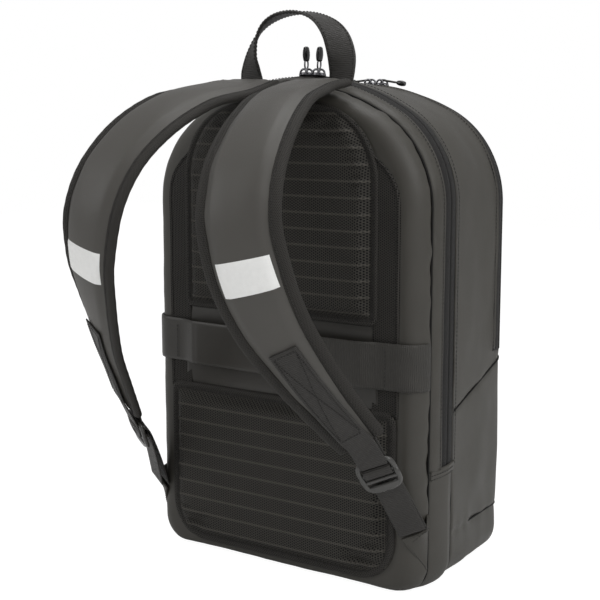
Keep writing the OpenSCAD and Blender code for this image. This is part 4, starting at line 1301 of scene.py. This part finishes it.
def strap_tab(tree):
    """Webbing tab sewn on the strap's face, round the buckle's top bar and back under the end."""
    first = len(CENTRES) - int(2.6 * FINE)
    pts, acr, fac = [], [], []
    for i in range(first, len(CENTRES), 5):
        pts.append(surface_height(i, 0.0, tree) + FACE[i] * 0.0010)
        acr.append(ACROSS[i])
        fac.append(FACE[i])
    sewn = len(pts)
    loop_r = BAR_R + GAP + WEB_T / 2
    bar = B_ORIGIN + B_ALONG * (BAR_R + 0.001)
    for a in (70, 30, -10, -50, -90, -130):
        c, s = math.cos(math.radians(a)), math.sin(math.radians(a))
        pts.append(bar + B_FACE * loop_r * s + B_ALONG * loop_r * c)
        acr.append(B_ACROSS)
        fac.append(B_FACE * s + B_ALONG * c)
    pts.append(CENTRES[-1] - FACE[-1] * 0.0030 + B_ALONG * 0.001)
    acr.append(B_ACROSS)
    fac.append(-FACE[-1])
    fine = spline(np.concatenate([pts, acr, fac], axis=1), 6)
    made = sweep("strap_tab_webbing_right", fine[:, :3], unit_rows(fine[:, 3:6]), unit_rows(fine[:, 6:]),
                 band_section(WEB_W, WEB_T, 12), WEBBING)
    both(made, "strap_right", right_nodes=("strap_tab_right",))
    top = fine[:(sewn - 1) * 6]
    c, x, f = top[:, :3], top[:, 3:6], top[:, 6:]
    half = WEB_W / 2 - 0.0025
    up = f * (WEB_T / 2)
    last = len(c) - 6
    thread = {"pitch": 0.0028, "length": 0.0021, "radius": 0.00045}
    for v in (-half, half):
        stitch("strap_solid_right", (c + x * v + up)[2:last], f[2:last], **thread)
    for r in (2, last - 1):
        line = np.linspace((c + x * -half + up)[r], (c + x * half + up)[r], 10)
        stitch("strap_solid_right", line, f[r], **thread)
    for sign in (-1, 1):
        k = np.linspace(-sign * half, sign * half, last - 2)[:, None]
        stitch("strap_solid_right", c[2:last] + x[2:last] * k + up[2:last], f[2:last], **thread)


def strap_webbing():
    """Adjusting webbing: from its sewn end up through the buckle, round the bar and back down behind."""
    reach = np.linalg.norm(ANCHOR_TIP - B_ORIGIN)
    wrap = BAR_R + 1.5 * GAP + WEB_T / 2
    behind = -(BUCKLE_T / 2 + GAP + WEB_T / 2 + 0.0013)
    tail = behind - WEB_T - 2 * GAP
    b = BUCKLE_L
    path = [(reach, tail), (reach * 0.6, tail - 0.001), (b * 0.7, tail), (b * 0.40, -wrap - 0.0022),
            (b * 0.26, -0.0012), (b * 0.30, wrap * 0.8), (b * 0.40, wrap), (b * 0.48, wrap * 0.75),
            (b * 0.54, -0.0015), (b * 0.66, behind), (b, behind), (b * 1.6, behind + 0.001),
            (reach - 0.004, behind + 0.004)]
    fine = spline(path, 8)
    pts = np.array([frame_point(0, -y, z) for y, z in fine])
    along = tangents(pts)
    across = np.tile(B_ACROSS, (len(pts), 1))
    face = np.cross(along, across)
    made = sweep("webbing_right", pts, across, face, band_section(WEB_W, WEB_T, 12), WEBBING)
    start = frame_point(0, -b * 1.05, 0)
    both(made, "bag_back", right_nodes=("right_webbing",),
         blend=("strap_right", "bag_back", tuple(start), tuple(ANCHOR_TIP)))
    for k in (0.004, 0.008):
        c = frame_point(0, -(reach - k), tail - WEB_T / 2)
        stitch("anchor_right", np.linspace(c - B_ACROSS * 0.0105, c + B_ACROSS * 0.0105, 10), -B_FACE)


def seam_shadow_line(name, y, columns, lift):
    """Near-black tube laid down in a seam's groove: painted shade for the crevice there."""
    p, n, _ = wall([y - 0.001, y, y + 0.001], columns)
    wave = pucker(S[columns], 0.004, 0.0006, 0.01, 0.012, 1.0)
    return tube(name, p[1] + n[1] * (lift + wave)[:, None], 0.0011, SEAM_SHADE, sides=8)


def side_seam_shadow_lines():
    """Near-black tubes in the grooves of the diagonal seam on each side and the base seam round sides and
    front: painted shade for those crevices.
    """
    slope = (DIAGONAL_Z1 - DIAGONAL_Z0) / (FRONT - TAPE_Y1)
    ys = np.linspace(TAPE_Y1 + 0.001, FRONT - 0.0015, 60)
    for side, word in SIDE_WORD.items():
        path = [(side * (half_width(y) - 0.0007), y, DIAGONAL_Z0 + slope * (y - TAPE_Y1)) for y in ys]
        on_front(tube(f"seam_diagonal_{word}", path, 0.0008, SEAM_SHADE, sides=8))
    flank = [(half_width(y) - 0.0016, y, BOOT_Z) for y in ys]
    last = half_width(FRONT) - 0.0016
    face = [(x, front_depth(x, BOOT_Z) - 0.0014, BOOT_Z) for x in np.linspace(last, -last, 90)]
    path = flank + face[1:-1] + [(-x, y, z) for x, y, z in flank[::-1]]
    on_front(tube("seam_shadow_base", path, 0.0009, SEAM_SHADE, sides=8))


def anchor_wing():
    """Triangular cloth wing sewn in the side seam, with the webbing's end sewn on it."""
    seam_x, seam_y = BACK_HALF - 0.0010, SEAM_BACK_Y - 0.0030
    tip = ANCHOR_TIP + B_ALONG * 0.0015 - B_FACE * 0.004
    root = np.linspace((seam_x + 0.0012, seam_y, 0.074), (seam_x + 0.0008, seam_y, 0.022), 26)
    end = np.linspace(tip - B_ACROSS * 0.0125, tip + B_ACROSS * 0.0125, 26)
    if np.linalg.norm(root[0] - end[0]) > np.linalg.norm(root[0] - end[-1]):
        end = end[::-1]
    rows = []
    for k in np.linspace(0, 1, 22):
        bow = 0.0016 * math.sin(math.pi * k)
        rows.append(root * (1 - k) + end * k + (bow * 0.8, -bow, 0.0))
    p = np.array(rows)
    uv = uv_grid(np.linspace(0, 0.035, 26), np.linspace(0, np.linalg.norm(p[-1, 0] - p[0, 0]), 22))
    made = grid("anchor_wing_right", p, uv, CLOTH)
    m = made.modifiers.new("thick", "SOLIDIFY")
    m.thickness = 0.0020
    m.offset = 0
    apply_modifiers(made)
    normal = unit(np.cross(p[10, 13] - p[0, 13], p[10, 20] - p[10, 5]))
    normal = normal * np.sign(-normal[1])
    for c in (1, 24):
        stitch("anchor_right", p[1:-1, c] + normal * 0.0011, normal)
    for r in (17, 20):
        stitch("anchor_right", p[r, 2:-2] + normal * 0.0011, normal)
    return both(made, "bag_back", right_nodes=("right_anchor",))


def tube(name, points, radii, material, sides=14, flat=(1, 1), normal=None):
    """Round or oval rod through points, tapering with radii."""
    points = np.asarray(points, float)
    along = tangents(points)
    guess = np.array(normal if normal is not None else (0.31, 0.52, 0.79))
    across = guess - along * (along @ guess)[:, None]
    across /= np.linalg.norm(across, axis=1, keepdims=True)
    face = np.cross(along, across)
    turns = [2 * math.pi * k / sides for k in range(sides)]
    ring = [(math.cos(t) * flat[0], math.sin(t) * flat[1]) for t in turns]
    section = np.array([[(x * r, y * r) for x, y in ring] for r in np.broadcast_to(radii, len(points))])
    return sweep(name, points, across, face, section, material)


def capsule(a, b, r, n=10):
    """Points and radii of a rod with rounded ends."""
    a, b = np.asarray(a, float), np.asarray(b, float)
    d = unit(b - a)
    length = np.linalg.norm(b - a)
    ends = [math.pi / 2 * k / 4 for k in range(5)]
    rise = [r * (1 - math.cos(e)) for e in ends[:-1]]
    cap = [r * max(0.05, math.sin(e)) for e in ends[:-1]]
    at = rise + list(np.linspace(r, length - r, n)) + [length - t for t in rise[::-1]]
    return [a + d * t for t in at], cap + [r] * n + cap[::-1]


def bulged(share, power):
    """A sine or cosine raised to a power with its sign kept, which squares up an oval."""
    return math.copysign(abs(share) ** power, share)


def buckle():
    """Ladder lock: a rounded frame with two bars across it and a broad domed lip at its lower end."""
    w = WEB_W + 2 * (RAIL + 0.0008)
    r, mid = RAIL / 2, -BUCKLE_L / 2

    def rim(a):
        c, e = math.cos(a), math.sin(a)
        power = 0.42 if e > 0 else 0.62
        return (w / 2 - r) * bulged(c, power), mid + (BUCKLE_L / 2 - r) * bulged(e, power)

    ring = [rim(2 * math.pi * (k + 0.5) / 72) for k in range(73)]
    pts = [frame_point(x, y, 0.0010 * math.cos(math.pi * (y - mid) / BUCKLE_L)) for x, y in ring]
    parts = [tube("frame", pts, r * 0.94, PLASTIC, 14, (1.0, 1.05), B_FACE)]
    reach = w / 2 - RAIL * 0.6
    for y in (-BUCKLE_L * 0.40, -BUCKLE_L * 0.62):
        ends, radii = capsule(frame_point(-reach, y, 0.0002), frame_point(reach, y, 0.0002), BAR_R)
        parts.append(tube("bar", ends, radii, PLASTIC, 16, (1, 1), B_FACE))
    ys = np.linspace(-BUCKLE_L * 0.76, -BUCKLE_L + r, 14)
    turns = [2 * math.pi * k / 28 for k in range(28)]
    sections = []
    for y in ys:
        half = max(x for x, v in ring if abs(v - y) < 0.0016)
        rise = 0.0028 - 0.0006 * (y + BUCKLE_L) / BUCKLE_L
        section = []
        for a in turns:
            flatter = 1 if math.sin(a) > 0 else 0.75
            height = 0.0004 + rise * bulged(math.sin(a), 0.6) * flatter
            section.append((half * bulged(math.cos(a), 0.5), height))
        sections.append(section)
    path = np.array([frame_point(0, y, 0) for y in ys])
    across, face = np.tile(B_ACROSS, (14, 1)), np.tile(B_FACE, (14, 1))
    parts.append(sweep("lip", path, across, face, np.array(sections), PLASTIC))
    made = outward(join("buckle_frame_right", parts))
    return both(made, "lock_right", right_nodes=("buckle_right",))


# ---------------------------------------------------------------- zip sliders and pulls
def seat_rise(y, w=0.011):
    return max(0, top_height(y - w / 2) - top_height(y), top_height(y + w / 2) - top_height(y))


def crown_frame(y, angle):
    """Matrix of a slider: x along the zip, y across it, z out of the bag, origin on the fabric."""
    place = Matrix.Translation((0, y, top_height(y) - CROWN_R))
    return place @ Matrix.Rotation(angle, 4, "Y") @ Matrix.Translation((0, 0, CROWN_R + seat_rise(y)))


def loft(name, rings, material):
    rings = np.asarray(rings, float)
    rows, cols = rings.shape[:2]
    faces = [(r * cols + c, r * cols + (c + 1) % cols, (r + 1) * cols + (c + 1) % cols, (r + 1) * cols + c)
             for r in range(rows - 1) for c in range(cols)]
    faces += [tuple(range(cols))[::-1], tuple((rows - 1) * cols + c for c in range(cols))]
    uv = rings[..., :2].reshape(-1, 2)
    return outward(make(name, rings.reshape(-1, 3), faces, material, uv))


def squircle(cx, cy, a, b, power=4, n=24):
    """Rounded rectangle in a plane, as pairs."""
    turns = [2 * math.pi * k / n for k in range(n)]
    return [(cx + a * bulged(math.cos(t), 2 / power), cy + b * bulged(math.sin(t), 2 / power)) for t in turns]


SLIDER_L, SLIDER_W, SLIDER_H, PIN_RISE, MEET = 0.013, 0.011, 0.004, 0.0022, 0.005
PIN_Z = GAP + SLIDER_H + PIN_RISE
PIN_R, PIN_REACH = 0.0011, SLIDER_W / 2 - 0.0012
CORD_R, CORD_END = 0.0009, 0.0185


def slider_angle(side):
    """How far along the crown a closed slider sits from the middle."""
    return math.asin((MEET + side * (SLIDER_L + GAP) / 2) / CROWN_R)


def pin(z):
    pts, radii = capsule((0, -PIN_REACH, z), (0, PIN_REACH, z), PIN_R, 6)
    return tube("pin", pts, radii, METAL, 12)


def slider(name, depth, side, body, node):
    """Cast slider with two ears that hold the puller's pin."""
    rings = []
    for k in np.linspace(-1, 1, 13):
        wide = SLIDER_W / 2 * (0.78 + 0.22 * math.cos(math.pi * k * 0.75)) * (1 - 0.25 * abs(k) ** 8)
        tall = SLIDER_H * (0.92 - 0.30 * abs(k) ** 4)
        rings.append([(k * SLIDER_L / 2, u, v) for u, v in squircle(0, GAP + tall / 2, wide, tall / 2, 3.4)])
    parts = [loft("base", rings, METAL)]
    for s in (-1, 1):
        y = s * (SLIDER_W / 2 - 0.0014)
        pts = [(SLIDER_L * 0.30 * math.cos(t), y, GAP + SLIDER_H * 0.55 + 0.0042 * math.sin(t))
               for t in np.linspace(0, math.pi, 15)]
        parts.append(tube("ear", pts, 0.0009, METAL, 10, (1, 1.1), (0, 1, 0)))
    made = join(name, parts)
    made.data.transform(crown_frame(depth, slider_angle(side)))
    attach(made, body)
    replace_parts(made, node)


def main_pull(name, side, body, node):
    """Moulded loop puller on a metal pin, standing up from its slider."""
    parts = [pin(PIN_Z)]
    loop = [(0, 0.0026 * math.sin(t) * (1.0 + 0.15 * math.cos(t)), PIN_Z + 0.0052 - 0.0052 * math.cos(t))
            for t in np.linspace(0, 2 * math.pi, 26)]
    parts.append(tube("ring", loop, 0.0008, METAL, 10))
    head, radii = [], []
    for k in np.linspace(0, 1, 16):
        head.append((0, 0, PIN_Z + 0.0070 + 0.0135 * k))
        swell = 0.42 + 0.58 * math.sin(math.pi * (0.12 + 0.80 * k)) ** 0.7
        radii.append(0.0047 * swell * (1 if k < 0.98 else 0.5))
    radii[0] *= 0.5
    parts.append(tube("head", head, radii, RUBBER, 22, (1.0, 0.52), (0, 1, 0)))
    made = join(name, parts)
    made.data.transform(crown_frame(ZIP_Y, slider_angle(side)))
    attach(made, body)
    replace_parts(made, node)


def cord_pull(name, side, body, node):
    """Doubled cord from the front slider's pin to a moulded end, lying on the crown."""
    droop = math.radians(5)
    parts = [pin(0)]
    for s in (-1, 1):
        cord = [(x, s * (0.0011 + 0.0008 * math.sin(math.pi * x / 0.018)), 0)
                for x in np.linspace(0.0, CORD_END, 16)]
        parts.append(tube("cord", cord, CORD_R, WEBBING_DARK, 10))
    bend = [(-0.0012 * math.cos(t), 0.0012 * math.sin(t), 0.0) for t in np.linspace(-1.5, 1.5, 10)]
    parts.append(tube("bend", bend, CORD_R, WEBBING_DARK, 10))
    knob = [(x, 0, 0) for x in np.linspace(0.0175, 0.0262, 12)]
    radii = [0.0027 * (0.55 + 0.45 * math.sin(math.pi * (0.1 + 0.75 * k / 11))) for k in range(12)]
    parts.append(tube("knob", knob, radii, RUBBER, 16))
    made = join(name, parts)
    turn = Matrix.Rotation(droop, 4, "Y")
    flip = Matrix.Scale(-1, 4, (1, 0, 0)) if side < 0 else Matrix.Identity(4)
    seat = crown_frame(FZIP_Y, slider_angle(side)) @ Matrix.Translation((0, 0, PIN_Z))
    made.data.transform(seat @ flip @ turn)
    outward(made)
    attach(made, body)
    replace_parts(made, node)


# ---------------------------------------------------------------- inside
def soft_board(name, x0, x1, z0, z1, y, t, material, body, crown, nodes=()):
    """Thin sewn panel standing in the bag, softly padded, with a bound top edge."""
    xs, zs = np.linspace(x0, x1, 60), np.linspace(z0, z1, 60)
    x, z = np.meshgrid(xs, zs)
    edge = np.minimum(np.minimum(x - x0, x1 - x), np.minimum(z - z0, z1 - z))
    puff = crown * smoothstep(edge / 0.02)
    p = np.stack([x, y + puff, z], axis=-1)
    p[..., 1] += broad_wrinkles(p, crown * 0.4, y * 50)
    made = grid(name, p, p[..., [0, 2]], material)
    outward_from(made, (0, y - 1, (z0 + z1) / 2))
    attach(thicken(made, t), body)
    if nodes:
        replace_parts(made, *nodes)
    pts = [(x, y + crown * 0.5 - t / 2, z1) for x in xs]
    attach(tube(name + "_binding", pts, 0.0024, BINDING, 14, (1, 0.9), (0, 0, 1)), body)


def back_lining():
    depth = BACK + 0.0022
    ring = np.array([[(x, depth, z) for x, z in outline(BACK, d)] for d in (0.006, 0.010, 0.03, 0.05)])
    middle = np.array([0, depth, 0.22])
    p = np.concatenate([ring, np.array([middle + (ring[-1] - middle) * k for k in (0.6, 0.3, 0.0)])])
    made = outward_from(sheet_grid("back_lining", p, p[..., [0, 2]], LINING, 0), (0, -1, 0.2))
    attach(thicken(made, 0.0015), "bag_back")
    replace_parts(made, "frame_sheet")


def soft_floor(name, x0, x1, y0, y1, z):
    """Lining laid level at height z, a little wrinkled."""
    x, y = np.meshgrid(np.linspace(x0, x1, 50), np.linspace(y0, y1, 24))
    p = np.stack([x, y, np.full_like(x, z)], axis=-1)
    p[..., 2] += np.abs(broad_wrinkles(p, 0.0006, 4.0))
    made = outward_from(grid(name, p, p[..., [0, 1]], LINING), (0, 0, z - 1))
    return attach(thicken(made, 0.0012), "bag_back")


def laptop_sleeve():
    (x0, y0, z0), (x1, y1, z1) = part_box("laptop_sleeve")
    soft_board("sleeve_wall", x0 + 0.002, x1 - 0.002, z0, z1, y1 - 0.001, 0.0035, LINING_DARK, "bag_back",
               0.0015, ("laptop_sleeve",))
    for side, edge in ((-1, x0), (1, x1)):
        y, z = np.meshgrid(np.linspace(y0 + 0.001, y1, 14), np.linspace(z0, z1 - 0.002, 40))
        fold = 0.003 * np.sin(np.pi * (y - y0) / (y1 - y0))
        p = np.stack([edge - side * fold, y, z], axis=-1)
        made = grid(f"sleeve_side_{SIDE_WORD[side]}", p, p[..., [1, 2]], LINING_DARK)
        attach(thicken(made, 0.0012), "bag_back")
    soft_floor("sleeve_floor", x0, x1, y0 + 0.001, y1, z0 + 0.0015)


def inside():
    back_lining()
    laptop_sleeve()
    (x0, y0, _), (x1, y1, z1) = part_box("base_board")
    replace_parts(soft_floor("base_board_lining", x0, x1, y0, y1, z1 + 0.0008), "base_board")
    divider()
    (x0, _, z0), (x1, y1, z1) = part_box("organiser_pocket")
    soft_board("organiser_wall", x0, x1, z0, z1, y1 - 0.002, 0.0012, LINING_DARK, "front_section", 0.0020,
               ("organiser_pocket",))
    soft_board("pen_pocket", x0 + 0.012, x0 + 0.075, z0 + 0.01, z1 - 0.03, y1 + 0.0012, 0.0010, LINING,
               "front_section", 0.0015)


def divider():
    """Lining wall between the compartments, running into the slanted floor of the front one."""
    inset = 0.0026
    y = DIVIDER_Y + 0.001
    edge = outline(y, inset)
    fold = (FOLD_FRONT_Z - ZIP_END) / (FRONT - ZIP_Y)
    wall_z = ZIP_END + fold * (y - ZIP_Y) + 0.001
    rows = []
    for i in range(ZIP_COLUMN, HALF_COLUMNS + 1):
        x, z = edge[i]
        if z >= wall_z:
            rows.append([(x * k, y, z) for k in np.linspace(-1, 1, 41)])
    p = np.array(rows)
    floor = []
    for k in np.linspace(1, 0, 22):
        yy = y + (FRONT - 0.004 - y) * k
        half = half_width(yy) - inset
        floor.append([(half * u, yy, ZIP_END + fold * (yy - ZIP_Y) + 0.001) for u in np.linspace(-1, 1, 41)])
    full = np.concatenate([np.array(floor)[:-1], p])
    full[..., 1] += broad_wrinkles(full, 0.0008, 12.0) * smoothstep((full[..., 2] - wall_z) / 0.02)
    uv = np.stack([full[..., 0], full[..., 2] - full[..., 1]], axis=-1)
    made = sheet_grid("divider_wall", full, uv, LINING, 0)
    outward_from(made, (0, -1, 0.4))
    thicken(made, 0.0012)
    on_front(made)
    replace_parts(made, "divider")


# ---------------------------------------------------------------- build
back = back_shell()
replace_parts(back, "back_panel")
upper_gusset = gusset("gusset_upper", UPPER, TAPE_Y0, True)
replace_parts(upper_gusset, "rear_gusset")
gusset("gusset_lower", LOWER, TAPE_Y1, False)
cloth = front_cloth()
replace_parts(cloth, "front_shell", "lower_tub", "fold_panel")
flap = front_flap()
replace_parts(flap, "front_panel", "front_zip_rear_tape")
zips()
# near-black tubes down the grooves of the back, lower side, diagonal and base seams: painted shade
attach(seam_shadow_line("seam_shadow_back", SEAM_BACK_Y, np.arange(COLUMNS), -0.0014), "bag_back")
on_front(seam_shadow_line("seam_shadow_side_low", TAPE_Y1, LOWER, -0.0012))
side_seam_shadow_lines()
for side in (-1, 1):
    zip_end_patch(side)
back_pad("upper_pad_mesh", UPPER_BOX, 0.004, 0.066, 0.0143, UPPER_BOX[0].z + 0.010, ("upper_back_pad",))
back_pad("lower_pad_mesh", LOWER_BOX, 0.034, 0.006, 0.0150, LOWER_BOX[0].z + 0.014, ("lower_back_pad",))
pad_binding("lower_pad_binding", LOWER_BOX, 0.034, 0.006)
pad_binding("upper_pad_binding", UPPER_BOX, 0.004, 0.066, 0.008)
for side in (-1, 1):
    mesh_border(side)
channel()
trolley_band()
grab_handle()
strap, _ = strap_pad()
strap_binding()
face_tree = ray_tree(strap)
strap_label(face_tree)
strap_tab(face_tree)
strap_webbing()
anchor_wing()
buckle()
for row, depth, pull in (("main", ZIP_Y, main_pull), ("front", FZIP_Y, cord_pull)):
    for side, word in SIDE_WORD.items():
        slider(f"{row}_slider_metal_{word}", depth, side, f"{row}_slide_{word}", f"{row}_slider_{word}")
        pull(f"{row}_pull_{word}", side, f"{row}_pull_{word}", f"{row}_puller_{word}")
inside()

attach(lay_stitches("back", "stitching_back"), "bag_back")
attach(lay_stitches("zip_ends", "stitching_zip_ends"), "bag_back")
on_front(lay_stitches("front", "stitching_front"))
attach(lay_stitches("front_top", "stitching_front_top"), "front_section")
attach(lay_stitches("handle", "stitching_handle"), "handle")
both(lay_stitches("strap_right", "stitching_binding_right"), "strap_right", blend=HINGE_BLEND)
both(lay_stitches("strap_solid_right", "stitching_strap_right"), "strap_right")
both(lay_stitches("anchor_right", "stitching_anchor_right"), "bag_back")
